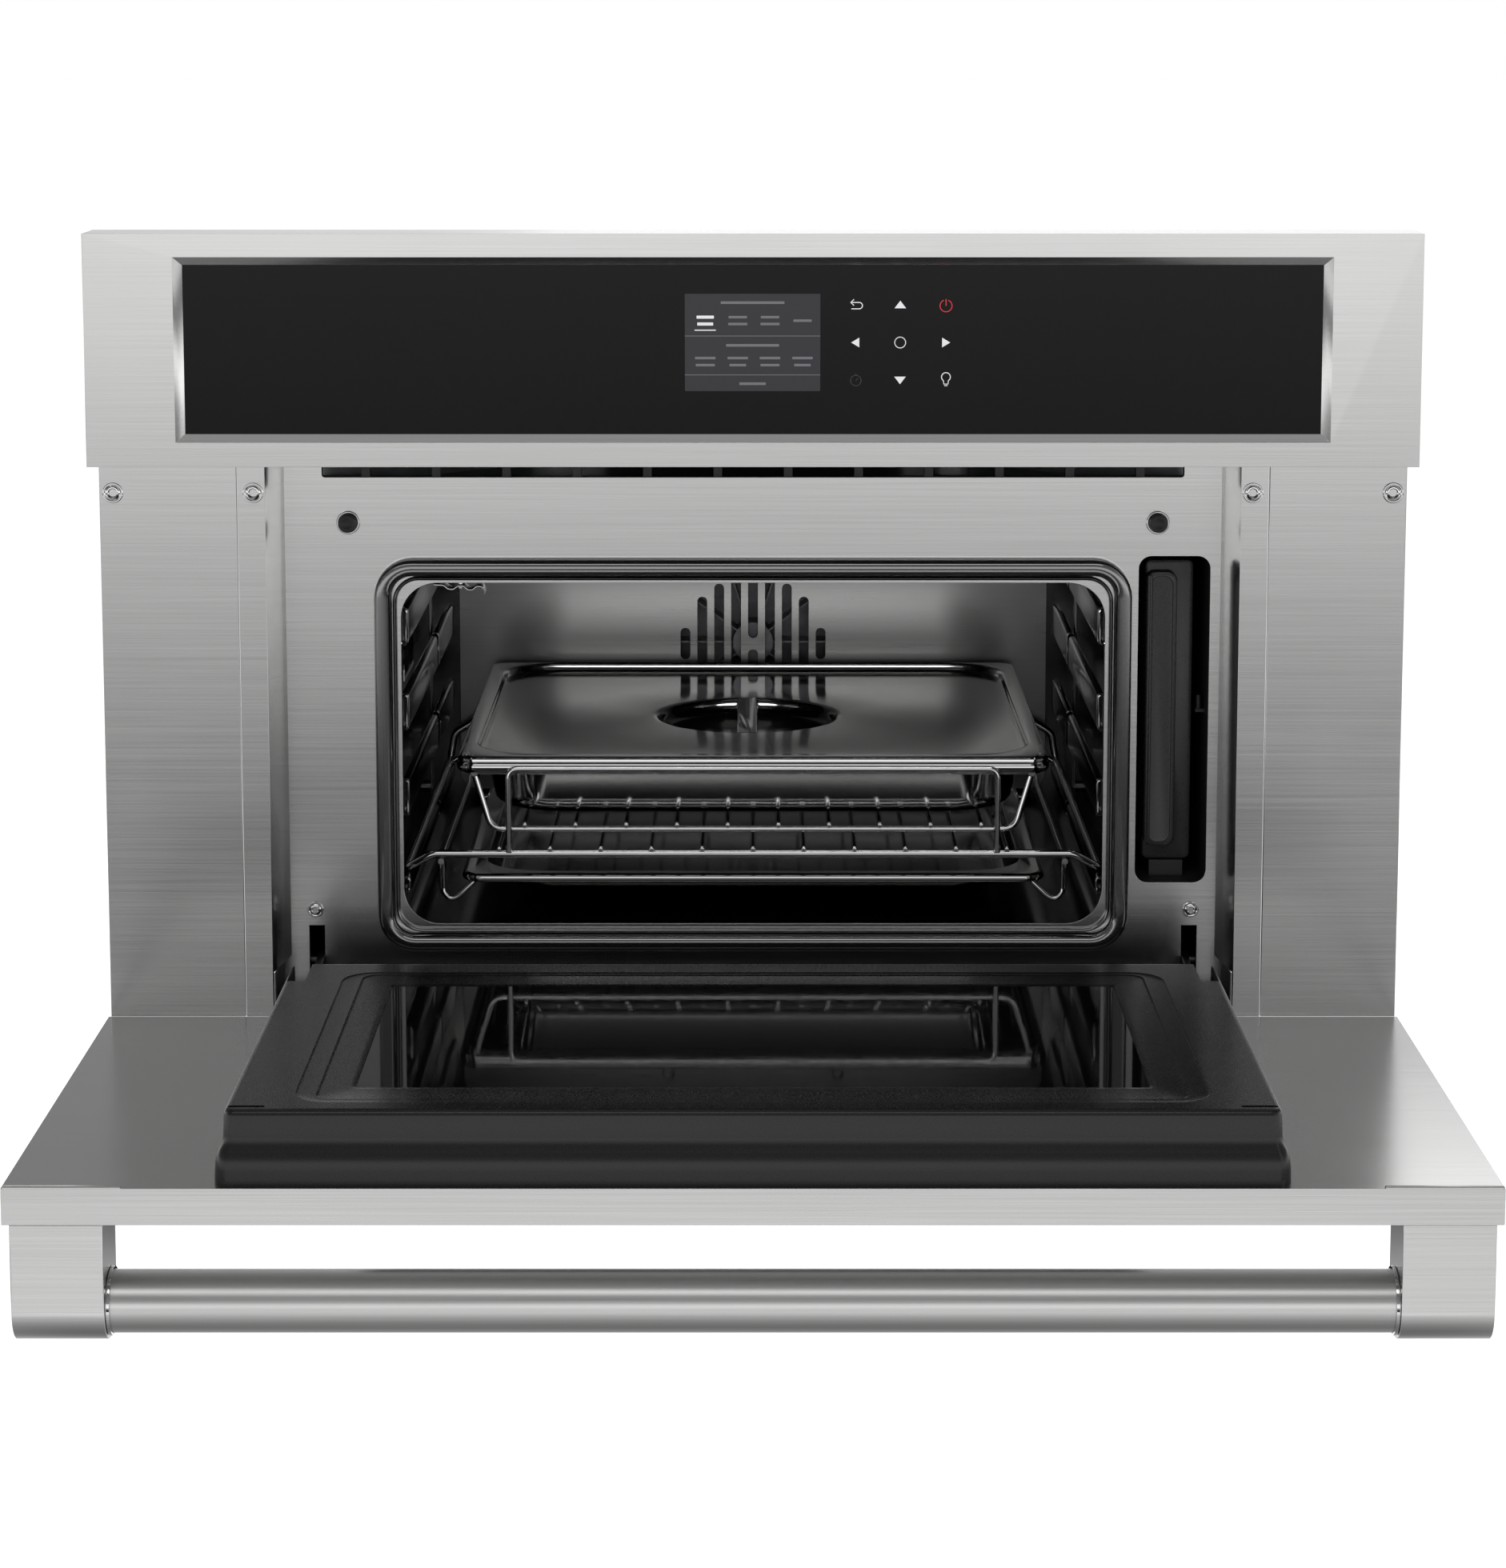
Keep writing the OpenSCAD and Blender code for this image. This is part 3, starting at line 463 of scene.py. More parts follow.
def circle(radius, x=0.0, y=0.0, steps=9):
    """As many points on a circle as round_rect gives."""
    count = 4 * (steps + 1)
    turn = 2 * math.pi / count
    return [(x + radius * math.cos((i - steps / 2) * turn + math.pi / 4),
             y + radius * math.sin((i - steps / 2) * turn + math.pi / 4)) for i in range(count)]


def lying(x=0.0, y=0.0):
    """Rings that lie flat: the third number is the height."""
    return lambda a, b, level: (x + a, y + b, level)


def facing(x=0.0, z=0.0):
    """Rings that face the front: the third number is the depth."""
    return lambda a, b, level: (x + a, level, z + b)


def smooth(mesh, angle=32.0):
    """Smooth shading, with edges sharper than the angle kept crisp."""
    mesh.shade_smooth()
    mesh.set_sharp_from_angle(angle=math.radians(angle))


def add_piece(name, mesh, material, body, stands_for=()):
    """Put a mesh in the scene as a piece: its material, its body and what it replaces."""
    mesh.materials.append(material)
    piece = bpy.data.objects.new(name, mesh)
    scene.collection.objects.link(piece)
    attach(piece, body)
    if stands_for:
        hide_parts(*stands_for)
    return piece


def ring_mesh(name, rings, place, closed=False, caps=(False, False)):
    """A mesh over rings of (points, level). closed joins the last ring to the first."""
    count = len(rings[0][0])
    points = [tuple(mm(v) for v in place(a, b, level)) for outline, level in rings for a, b in outline]
    faces = []
    pairs = len(rings) if closed else len(rings) - 1
    for r in range(pairs):
        low, high = r * count, ((r + 1) % len(rings)) * count
        for i in range(count):
            j = (i + 1) % count
            faces.append((low + i, low + j, high + j, high + i))
    if caps[0]:
        faces.append(tuple(reversed(range(count))))
    if caps[1]:
        faces.append(tuple(range((len(rings) - 1) * count, len(rings) * count)))
    mesh = bpy.data.meshes.new(name)
    mesh.from_pydata(points, [], faces)
    work = bmesh.new()
    work.from_mesh(mesh)
    bmesh.ops.recalc_face_normals(work, faces=work.faces)
    work.to_mesh(mesh)
    work.free()
    smooth(mesh)
    return mesh


def ring_piece(name, rings, place, material, body, slot, stands_for=(), **ends):
    """A piece made of rings. ends says closed or caps, as ring_mesh takes them."""
    return add_piece(name, ring_mesh(name, rings, place, **ends), material, body, stands_for)


sides = (("left", -1), ("right", 1))


# %% Tools: wires, softened copies and cuts
def filleted(points, radius, steps=6):
    """The points of a bent wire, each inner corner turned into an arc."""
    points = [Vector(p) for p in points]
    out = [points[0]]
    for before, corner, after in zip(points, points[1:], points[2:]):
        reach = min(radius, (before - corner).length * 0.45, (after - corner).length * 0.45)
        start = corner + (before - corner).normalized() * reach
        end = corner + (after - corner).normalized() * reach
        for i in range(steps + 1):
            t = i / steps
            out.append(start * (1 - t) ** 2 + corner * 2 * t * (1 - t) + end * t ** 2)
    return out + [points[-1]]


def wire_object(name, wires, material, body, slot, stands_for=()):
    """Bent round wires in one object. wires are (points in mm, radius, bend, closed)."""
    work = bmesh.new()
    for points, radius, bend, closed in wires:
        curve = bpy.data.curves.new("path", "CURVE")
        curve.dimensions = "3D"
        curve.bevel_depth = mm(radius)
        curve.bevel_resolution = 3
        curve.use_fill_caps = not closed
        path = filleted(points, bend) if bend else [Vector(p) for p in points]
        spline = curve.splines.new("POLY")
        spline.points.add(len(path) - 1)
        for item, point in zip(spline.points, path):
            item.co = (*[mm(v) for v in point], 1)
        spline.use_cyclic_u = closed
        holder = bpy.data.objects.new("path", curve)
        part = holder.to_mesh()
        work.from_mesh(part)
        holder.to_mesh_clear()
        bpy.data.objects.remove(holder)
        bpy.data.curves.remove(curve)
    mesh = bpy.data.meshes.new(name)
    work.to_mesh(mesh)
    work.free()
    smooth(mesh, 50)
    return add_piece(name, mesh, material, body, stands_for)


def softened(node, width, material, body, segments=2):
    """A copy of a plain solid with its sharp edges rounded. It stands for the solid."""
    work = bmesh.new()
    work.from_mesh(nodes[node].data)
    work.transform(nodes[node].matrix_world)
    bmesh.ops.remove_doubles(work, verts=work.verts, dist=1e-6)
    bmesh.ops.dissolve_limit(work, angle_limit=math.radians(0.5), verts=work.verts, edges=work.edges)
    mesh = bpy.data.meshes.new("soft_" + node)
    work.to_mesh(mesh)
    work.free()
    piece = add_piece("soft_" + node, mesh, material, body, (node,))
    bevel = piece.modifiers.new("edges", "BEVEL")
    bevel.width = mm(width)
    bevel.segments = segments
    bevel.limit_method = "ANGLE"
    bevel.angle_limit = math.radians(38)
    graph = bpy.context.evaluated_depsgraph_get()
    rounded_mesh = bpy.data.meshes.new_from_object(piece.evaluated_get(graph), depsgraph=graph)
    piece.modifiers.clear()
    piece.data = rounded_mesh
    for face in rounded_mesh.polygons:
        face.use_smooth = max(abs(n) for n in face.normal) < 0.9999
    return piece


def cut(piece, cutters):
    """Take ring meshes away from a piece, for good."""
    for mesh in cutters:
        tool = bpy.data.objects.new("cutter", mesh)
        scene.collection.objects.link(tool)
        change = piece.modifiers.new("cut", "BOOLEAN")
        change.operation = "DIFFERENCE"
        change.solver = "EXACT"
        change.object = tool
        graph = bpy.context.evaluated_depsgraph_get()
        result = bpy.data.meshes.new_from_object(piece.evaluated_get(graph), depsgraph=graph)
        piece.modifiers.remove(change)
        result.name = piece.data.name
        piece.data = result
        bpy.data.objects.remove(tool)
    smooth(piece.data)


# %% [markdown]
# ## Trim, frame and casing
#
# The trim flanges, the cheeks and the inner frame are folded from brushed stainless sheet. A
# folded edge is never a knife edge: it catches a thin line of light. A rounded copy of each
# solid gives that line. The casing behind is plain galvanised steel that the cabinet hides.

# %% Trim and frame
for node in ("trim_flange_left", "trim_flange_right", "frame_cheek_left", "frame_cheek_right"):
    softened(node, 0.35, steel_x, "oven_body")
softened("front_frame", 0.3, steel_x, "oven_body")
softened("control_fascia", 0.9, steel_x, "oven_body", 3)
# The base pan takes the dark steel as painted shade, standing in for the shadow in the gap beside the hinge.
softened("base_pan", 0.3, dark_steel, "oven_body")
for node in ("side_panel_left", "side_panel_right", "top_cover", "rear_cover"):
    softened(node, 0.3, galvanised, "oven_body")

# %% [markdown]
# Blind nuts are pressed into the sheet: six small turned shapes, each a profile spun round its
# own axis. The cheeks stand on the floor sheet with a short dark foot that closes the corner
# beside the hinge; its dark steel is painted shade for the shadow in that corner.

# %% Blind nuts and feet
# Radius, and depth measured from the sheet's face, from the outer edge in to the thread.
nut_profile = ((5.9, 0.6), (5.9, -0.25), (5.6, -0.45), (4.9, -0.45), (4.6, -0.2), (4.3, -0.05),
               (3.9, -0.2), (3.3, -0.75), (2.8, -0.8), (2.3, -0.4), (2.1, 1.2), (1.9, 1.8),
               (2.1, 2.4), (1.9, 3.0), (0.3, 3.2))
flange_nuts = [(x, 310.4, -2.4, 1.0) for x in (-369.2, -288.3, 288.3, 369.2)]
frame_nuts = [(x, 53.9, 40.0, 0.8) for x in (-261.1, 261.1)]
for number, (x, z, face_y, size) in enumerate(flange_nuts + frame_nuts):
    nut = [(circle(r * size, steps=7), face_y + y * size) for r, y in nut_profile]
    ring_piece(f"blind_nut_{number}", nut, facing(x, z), chrome, "oven_body", "chrome", caps=(True, True))
for side, sign in sides:
    # Painted shade: the feet are dark to stand in for the shadow beside the hinge.
    foot = [(round_rect(1.5, 12.5, 0.4, 3), y) for y in (0.05, 1.2)]
    ring_piece("cheek_foot_" + side, foot, facing(sign * 282.6, 13.2), dark_steel,
               "oven_body", "dark_steel", caps=(True, True))

# %% [markdown]
# ## Control panel
#
# The black glass covers a screen and nine touch marks. Printed marks on such glass are thin, so
# each is a stroke or a flat shape that stands a fraction of a millimetre proud. The words of a
# real menu are left as plain bars: a menu's layout, without anybody's wording.

# %% Screen with its menu bars
glass_y = -33.0


def plate(x, z, half_w, half_h, level, radius=0.3, thick=0.15):
    """A thin plate on the glass, its face at that distance in front: its rings and their place."""
    outline = round_rect(half_w, half_h, radius, 3)
    front = glass_y - level
    return [(outline, front + thick), (outline, front)], facing(x, z)


def merged(name, parts, material, body, slot, caps=(True, True)):
    """One piece from several small ring meshes."""
    work = bmesh.new()
    for rings, place in parts:
        part = ring_mesh("part", rings, place, caps=caps)
        work.from_mesh(part)
        bpy.data.meshes.remove(part)
    mesh = bpy.data.meshes.new(name)
    work.to_mesh(mesh)
    work.free()
    smooth(mesh)
    return add_piece(name, mesh, material, body)


screen_x, screen_z = -0.25, 400.2
on_panel = ("oven_body", "black_glass")
merged("screen_face", [plate(screen_x, screen_z, 38.3, 27.6, 0.2, 0.6)], screen_back, *on_panel)
dividers = [plate(screen_x, z, 38.3, 0.18, 0.32, 0.1) for z in (403.9, 381.8)]
merged("screen_dividers", dividers, grey_print, *on_panel)
bars = [plate(screen_x, 422.8, 18.0, 0.75, 0.32), plate(screen_x, 398.6, 15.0, 0.75, 0.32),
        plate(screen_x, 376.8, 7.5, 0.75, 0.32)]
for column, x in enumerate((-27.0, -8.6, 9.6, 28.0)):
    if column:
        bars.append(plate(x, 414.6 if column < 3 else 412.6, 5.2, 0.7, 0.32))
    if column in (1, 2):
        bars.append(plate(x, 410.7, 5.4, 0.7, 0.32))
    bars.append(plate(x, 391.4, 5.8, 0.7, 0.32))
    bars.append(plate(x, 387.4, 5.4 - 0.7 * (column % 2), 0.7, 0.32))
merged("screen_bars", bars, grey_print, *on_panel)
chosen = [plate(-27.0, 414.6, 4.9, 0.85, 0.34), plate(-27.0, 410.7, 4.5, 0.85, 0.34),
          plate(-27.0, 407.2, 6.0, 0.3, 0.34, 0.1)]
merged("screen_chosen", chosen, white_print, *on_panel)
print("menu bars:", len(bars) + len(chosen))


# %% [markdown]
# Round the screen sit four arrows, a power mark and four small symbols. The arrows are flat
# shapes. The symbols are strokes of even width, so they are drawn as very thin wires.

# %% Touch marks
def triangle(x, z, size, turn):
    """A small solid triangle that points up, then is turned: its rings and their place."""
    reach = size * 0.62
    corners = []
    for k in range(3):
        angle = math.radians(90 + turn + 120 * k)
        wide, tall = (1.12, 0.95) if k else (0.8, 0.8)
        corners.append((reach * math.cos(angle) * wide, reach * math.sin(angle) * tall))
    return [(corners, glass_y - 0.05), (corners, glass_y - 0.25)], facing(x, z)


def on_glass(*points):
    """Points (x, z) moved to just in front of the glass."""
    return [(x, glass_y - 0.2, z) for x, z in points]


def arc(x, z, radius, start, end, steps=20):
    """Points of an arc on the glass, angles in degrees."""
    angles = [math.radians(start + (end - start) * i / steps) for i in range(steps + 1)]
    return on_glass(*[(x + radius * math.cos(a), z + radius * math.sin(a)) for a in angles])


def stroke(points, radius, closed=False):
    """One printed line, as wire_object takes it."""
    return points, radius, 0, closed


arrows = [(83.2, 421.2, 0), (83.2, 379.2, 180), (58.2, 400.2, 90), (108.8, 400.2, -90)]
merged("touch_arrows", [triangle(x, z, 5.4, turn) for x, z, turn in arrows], white_print, *on_panel)
hook = on_glass((55.6, 422.9), (60.0, 422.9)) + arc(60.0, 421.1, 1.8, 90, -90) + on_glass((55.6, 419.3))
back_arrow = [stroke(hook, 0.28), stroke(on_glass((57.0, 424.6), (55.2, 422.9), (57.0, 421.2)), 0.28)]
bulb = [stroke(arc(109.2, 380.6, 2.5, -55, 235), 0.26),
        stroke(on_glass((110.6, 378.5), (110.4, 376.6), (108.0, 376.6), (107.8, 378.5)), 0.26),
        stroke(on_glass((108.3, 375.7), (110.1, 375.7)), 0.24)]
choose = [stroke(arc(83.2, 400.2, 3.1, 0, 352), 0.24, True)]
wire_object("touch_marks", back_arrow + bulb + choose, white_print, *on_panel)
power = [stroke(arc(109.0, 421.0, 3.4, 112, 428), 0.28),
         stroke(on_glass((109.0, 424.8), (109.0, 421.0)), 0.28)]
wire_object("touch_power", power, red_print, *on_panel)
timer = [stroke(arc(58.2, 378.6, 3.0, 0, 352), 0.22, True),
         stroke(on_glass((58.2, 382.4), (58.2, 381.7)), 0.3),
         stroke(on_glass((58.2, 378.6), (59.4, 379.9)), 0.22)]
wire_object("touch_timer", timer, faint_print, *on_panel)
print("arrows:", len(arrows), "strokes:", sum(len(m) for m in (back_arrow, bulb, choose, power, timer)))

# %% [markdown]
# ## Door seal, its lip and the bumpers
#
# A moulded rubber seal runs round the cavity's opening, and inside it the steel is rolled to a
# lip. The lip takes a lighter copy of the cavity's steel, a painted highlight for the light at the
# oven's mouth. Both are rings with a round crown. The seal is glossy, so the studio's light runs
# along it as one long streak.

# %% Seal and lip
def crown_rings(half_w, half_h, corner, band, base_y, high, square, steps=14):
    """Rings of a domed band along a rectangle. A smaller square makes the dome flatter."""
    rings = []
    for i in range(steps + 1):
        angle = math.pi * i / steps
        out = math.copysign(band / 2 * abs(math.cos(angle)) ** square, math.cos(angle))
        rings.append((round_rect(half_w + out, half_h + out, corner + out),
                      base_y - high * abs(math.sin(angle)) ** square))
    return rings


seal_place = facing(0, 148.05)
seal = crown_rings(218.3, 113.0, 17.5, 10.6, 39.9, 9.6, 0.62)
ring_piece("door_seal", seal, seal_place, rubber, "oven_body", "black_rubber",
           ("cavity_gasket",), closed=True)
# Painted highlight: the lip is the cavity's own steel, given a lighter tone for the light that falls on it.
lip_steel = metal("lip_steel", (0.20, 0.20, 0.20), (0.26, 0.26, 0.26), (0.12, 0.18), scale=20.0, depth=0.0)
lip = crown_rings(211.4, 106.1, 14.3, 2.8, 41.0, 4.6, 0.9)
ring_piece("opening_lip", lip, seal_place, lip_steel, "oven_body", "cavity_steel", closed=True)

# The door closes against two rubber caps, each in a bright ring.
ring_profile = ((6.9, 39.8), (6.9, 38.4), (6.5, 37.9), (5.9, 37.9), (5.5, 38.4), (5.5, 39.8))
cap_profile = ((5.35, 39.8), (5.35, 33.0), (4.9, 32.0), (3.2, 31.6), (1.4, 32.4), (0.3, 32.6))
for side, sign in sides:
    bumper_place = facing(sign * 238.2, 287.3)
    ring_piece("bumper_ring_" + side, [(circle(r), y) for r, y in ring_profile], bumper_place,
               chrome, "oven_body", "chrome", closed=True)
    ring_piece("bumper_cap_" + side, [(circle(r), y) for r, y in cap_profile], bumper_place,
               black_plastic, "oven_body", "black_rubber", caps=(True, True))
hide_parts("door_bumpers")
print("seal rings:", len(seal))

# %% [markdown]
# ## Shelf ladders
#
# Each side of the cavity has four pressed rails that carry a rack or a pan. A rail is a shallow
# channel with rounded ends, and its open front end shows as a small bright frame. It is built
# from rounded outlines stacked along the depth, with an inner outline pushed back for the hollow.
# The frame at the tip is a piece of its own in bright chrome, a painted highlight, while the rails
# take a darker copy of the same steel as painted shade. Two uprights and four studs hold the rails
# to the cavity's wall.

# %% Rails
def rail_outline(half_h, grow):
    """The rail's rounded section, made wider all round by grow."""
    return round_rect(2.55 + grow, half_h + grow, 2.2 + grow, 4)


def rail_rings(y0, y1, half_h):
    """Rings of one hollow rail: outside from back to front, then the hollow inside."""
    steps = ((-0.6, y1), (0, y1 - 0.6), (0, y0 + 0.7), (-0.25, y0 + 0.2), (-0.6, y0),
             (-0.95, y0 + 0.2), (-1.15, y0 + 0.8), (-1.3, y0 + 9.0))
    return [(rail_outline(half_h, grow), y) for grow, y in steps]


def tip_rings(y0, half_h):
    """Rings of the bright frame round a rail's front end."""
    steps = ((0.2, 4), (0.2, 0.5), (-0.05, -0.2), (-0.4, -0.5), (-0.8, -0.5), (-1.1, -0.2),
             (-1.25, 0.5), (-1.3, 4))
    return [(rail_outline(half_h, grow), y0 + y) for grow, y in steps]


# Painted shade: the rails, uprights and studs take a dark copy of the ladder's steel for the shade inside the
# cavity.
rail_steel = metal("rail_steel", (0.16, 0.16, 0.16), (0.22, 0.22, 0.22), (0.14, 0.22), scale=20.0, depth=0.0)
rail_tops = ((229.0, 11.0), (176.5, 11.0), (124.0, 11.0), (63.8, 5.0))  # top edge, half height
for side, sign in sides:
    rails, tips = [], []
    for top, half_h in rail_tops:
        place = facing(sign * 210.4, top - half_h)
        for y0, y1 in ((80.5, 291.0), (300.5, 427.5)):
            rails.append((rail_rings(y0, y1, half_h), place))
            tips.append((tip_rings(y0, half_h), place))
    for y in (92.0, 312.0):
        upright = [(round_rect(0.6, 8.0, 0.5, 4), z) for z in (42.0, 232.0)]
        rails.append((upright, lying(sign * 214.6, y + 8)))
    for y in (100.0, 320.0):
        for z in (70.0, 215.0):
            stud = [(circle(4.0, steps=4), x) for x in (215.2, 221.9)]
            rails.append((stud, lambda a, b, level, y=y, z=z, s=sign: (s * level, y + a, z + b)))
    ladder = merged("ladder_" + side, rails, rail_steel, "oven_body", "chrome")
    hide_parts("shelf_ladder_" + side)
    # Painted highlight: the front frames take bright chrome for the light that catches them.
    merged("ladder_tips_" + side, tips, chrome, "oven_body", "chrome", caps=(False, False))
print("rails a side:", len(rail_tops))

# %% [markdown]
# ## Cavity, fan cover and sensor clip
#
# The cavity is drawn from thin polished sheet, so it mirrors the pans and the light at its
# mouth. The fan cover has a wide pressed field round its slots. A pressing that soft shows only
# as shading, so it is a height that the material works out: the distance from a rounded
# rectangle, eased over the width of the slope.

# %% Group: pressed field
press_group, given, result = new_group(
    "pressed_field",
    [("Centre", "vector", (0.0, 0.0, 0.0)), ("Half Size", "vector", (0.1, 10.0, 0.1)),
     ("Corner", "float", 0.03)],
    [("Height", "float")])
position = add(press_group, "ShaderNodeTexCoord").outputs["Object"]
offset = vector_node(press_group, "SUBTRACT", position, given.outputs["Centre"])
reach = vector_node(press_group, "ABSOLUTE", offset)
beyond = vector_node(press_group, "SUBTRACT", reach, given.outputs["Half Size"])
outside = vector_node(press_group, "MAXIMUM", beyond)
length = add(press_group, "ShaderNodeVectorMath", operation="LENGTH")
press_group.links.new(outside, length.inputs[0])
share = math_node(press_group, "DIVIDE", length.outputs["Value"], given.outputs["Corner"])
ease = add(press_group, "ShaderNodeMapRange", interpolation_type="SMOOTHERSTEP")
press_group.links.new(share, ease.inputs["Value"])
ease.inputs["To Min"].default_value = 1.0
ease.inputs["To Max"].default_value = 0.0
press_group.links.new(ease.outputs["Result"], result.inputs["Height"])

# %% Fan cover
cover_steel = metal("fan_cover_sheet", (0.15, 0.15, 0.148), (0.17, 0.17, 0.168), (0.26, 0.32),
                    along_x, scale=6.0, depth=0.0)
tree = cover_steel.node_tree
field = place_group(tree, press_group, Centre=(0, mm(440), mm(132)), Half_Size=(mm(125), 1.0, mm(10)),
                    Corner=mm(62))
pressing = bump(tree, field.outputs["Height"], 1.0, mm(4.5))
tree.links.new(pressing, tree.nodes["Principled BSDF"].inputs["Normal"])
softened("fan_cover", 0.35, cover_steel, "oven_body")
screw_profile = ((4.4, 440.2), (4.4, 438.9), (3.6, 438.2), (1.6, 438.1), (1.4, 439.2), (0.2, 439.3))
for side, sign in sides:
    ring_piece("cover_screw_" + side, [(circle(r, steps=5), y) for r, y in screw_profile],
               facing(sign * 60.0, 237), chrome, "oven_body", "chrome", caps=(True, True))

# The slots look into a black box behind the cover: painted shade for the dark chamber round the fan.
chamber = [(round_rect(204, 104, 12), y) for y in (441.6, 486.6)] + [(round_rect(120, 60, 12), 486.8)]
ring_piece("fan_chamber", chamber, facing(0, 147.5), black_plastic,
           "oven_body", "dark_steel", caps=(False, True))
print("groups:", [g.name for g in bpy.data.node_groups])

# %% [markdown]
# The steam sensor hangs from the ceiling in a spring clip. The clip is one wavy strip: a small
# section is repeated along a bent path.

# %% Sensor clip
clip_path = [(-190.5, 246.0), (-184.5, 245.7), (-182.5, 243.6), (-179.0, 243.1), (-176.5, 245.2),
             (-173.0, 245.4), (-170.5, 243.0), (-167.5, 242.8), (-165.0, 245.2), (-161.5, 244.8),
             (-160.2, 241.8), (-160.4, 240.2)]
clip_y = 73
clip_bends = filleted([(x, 0, z) for x, z in clip_path], 1.2, 4)
clip_rings = [(round_rect(0.55, 7.0, 0.4, 3), point) for point in clip_bends]
ring_piece("sensor_clip", clip_rings, lambda a, b, level: (level[0], clip_y + b, level[2] + a),
           chrome, "oven_body", "chrome", ("steam_sensor",), caps=(True, True))
lead = [(-187, 68, 250), (-187, 68, 247.6), (-187, 78, 247.6), (-187, 78, 255)]
stem = [(-175, clip_y, 243.2), (-175, clip_y, 255.8)]
wire_object("sensor_wires", [(lead, 1.3, 2, False), (stem, 2.6, 0, False)], chrome, "oven_body", "chrome")
print("clip rings:", len(clip_rings))

# %% [markdown]
# ## Pans and lid
#
# Catering pans are deep drawn: a flat rim with a curled bead, then walls that lean in, and round
# corners everywhere. The lid's border lies on the rim and its middle sinks into the pan. A
# round dish is pressed into the middle, with a strap left across it as the handle. Both are one
# long list of rings from the bead inwards.

# %% Pans
pan_mid_y = 264.5
rim_half, rim_depth = 178.5, 165.5      # halves of the rim's width and depth
top_half, top_depth = 167.0, 154.5      # halves of the opening at the top of the walls
floor_half, floor_depth = 138.0, 127.0  # halves of the flat floor
wall_corner = 38.0


def pan_rings(rim_z, floor_z, profile):
    """Rings of a pan from under its bead, over the rim and down to the floor."""
    rings = []
    for inset, z in ((2.6, -4.4), (1.2, -4.2), (0.3, -3.2), (0.0, -2.0), (0.4, -0.7), (1.4, -0.1),
                     (2.8, 0.0), (5.0, -0.2)):
        rings.append((round_rect(rim_half - inset, rim_depth - inset, 12.0), rim_z + z))
    for inset, z in ((0.0, -0.2), (0.6, -0.5), (1.2, -1.4), (2.0, -3.0)):
        rings.append((round_rect(top_half - inset, top_depth - inset, wall_corner), rim_z + z))
    for share, z in profile:
        half = top_half - 2 + (floor_half - top_half + 2) * share
        deep = top_depth - 2 + (floor_depth - top_depth + 2) * share
        rings.append((round_rect(half, deep, wall_corner - 3), rim_z - (rim_z - floor_z) * z))
    rings.append((round_rect(floor_half * 0.3, floor_depth * 0.3, 20), floor_z))
    return rings


def thicken(piece, depth):
    """Give a skin its sheet thickness."""
    shell = piece.modifiers.new("sheet", "SOLIDIFY")
    shell.thickness = mm(depth)
    shell.offset = 0


# How far in (0 to 1) and how far down (0 to 1) the wall has come, ring by ring.
steep = ((0.14, 0.70), (0.18, 0.84), (0.26, 0.93), (0.40, 0.985), (0.60, 1.0), (1.0, 1.0))
rounded = ((0.12, 0.40), (0.20, 0.62), (0.32, 0.80), (0.48, 0.92), (0.70, 0.985), (1.0, 1.0))
for name, rim_z, base_z, profile in (("upper", 128.2, 96.0, steep), ("lower", 61.0, 45.0, rounded)):
    tray_rings = pan_rings(rim_z, base_z, profile)
    tray = ring_piece(name + "_tray", tray_rings, lying(0, pan_mid_y), pan_steel, "rack", "pan_steel",
                      (name + "_pan",), caps=(False, True))
    thicken(tray, 0.8)
    print(name, "pan rings:", len(tray_rings))

# %% Lid
lid_bead = ((2.2, 125.6), (0.9, 125.4), (0.2, 126.3), (0.0, 127.8), (0.0, 129.2), (0.3, 130.2),
            (0.9, 130.9), (0.9, 131.6), (0.4, 132.2), (0.5, 133.2), (1.2, 134.0), (2.6, 134.2))
lid_step = ((173.0, 160.5, 41, 134.2, 5), (171.9, 159.8, 41, 134.0, 5), (171.2, 159.2, 40.5, 133.4, 5),
            (170.8, 158.9, 40.2, 132.2, 5), (170.4, 158.6, 40, 130.8, 5), (169.8, 158.1, 39.6, 129.8, 5),
            (168.6, 157.1, 38.8, 129.2, 4.6), (166.6, 155.6, 37.4, 129.02, 4.2), (150.0, 140.0, 28, 129.0, 2))
dish = ((62.0, 129.0), (60.2, 128.9), (58.9, 128.4), (58.2, 127.4), (57.7, 125.4), (56.9, 123.2),
        (55.0, 121.2), (51.5, 119.6), (46.0, 118.6), (34.0, 117.9), (14.0, 117.6))
grip_x, grip_y = -3.7, -1.0


def stepped(steps):
    """Rings from (half width, half depth, corner, height, shift along the depth)."""
    return [([(a, b + shift) for a, b in round_rect(half, deep, corner)], z)
            for half, deep, corner, z, shift in steps]


lid_rings = [(round_rect(181 - inset, 167.5 - inset, 13.0 - inset * 0.5), z) for inset, z in lid_bead]
lid_rings += stepped(lid_step)
lid_rings += [(circle(radius, grip_x, grip_y), z) for radius, z in dish]
lid = ring_piece("lid_sheet", lid_rings, lying(0, pan_mid_y), pan_steel, "lid", "pan_steel", ("pan_lid",),
                 caps=(False, True))
thicken(lid, 0.7)
strap = [(round_rect(6.2, 60.5, 0.8, 4), z) for z in (127.6, 128.9)]
strap.append((round_rect(5.6, 60.0, 0.8, 4), 129.38))
ring_piece("lid_strap", strap, lying(grip_x, pan_mid_y + grip_y),
           pan_steel, "lid", "pan_steel", caps=(True, True))
print("lid rings:", len(lid_rings))

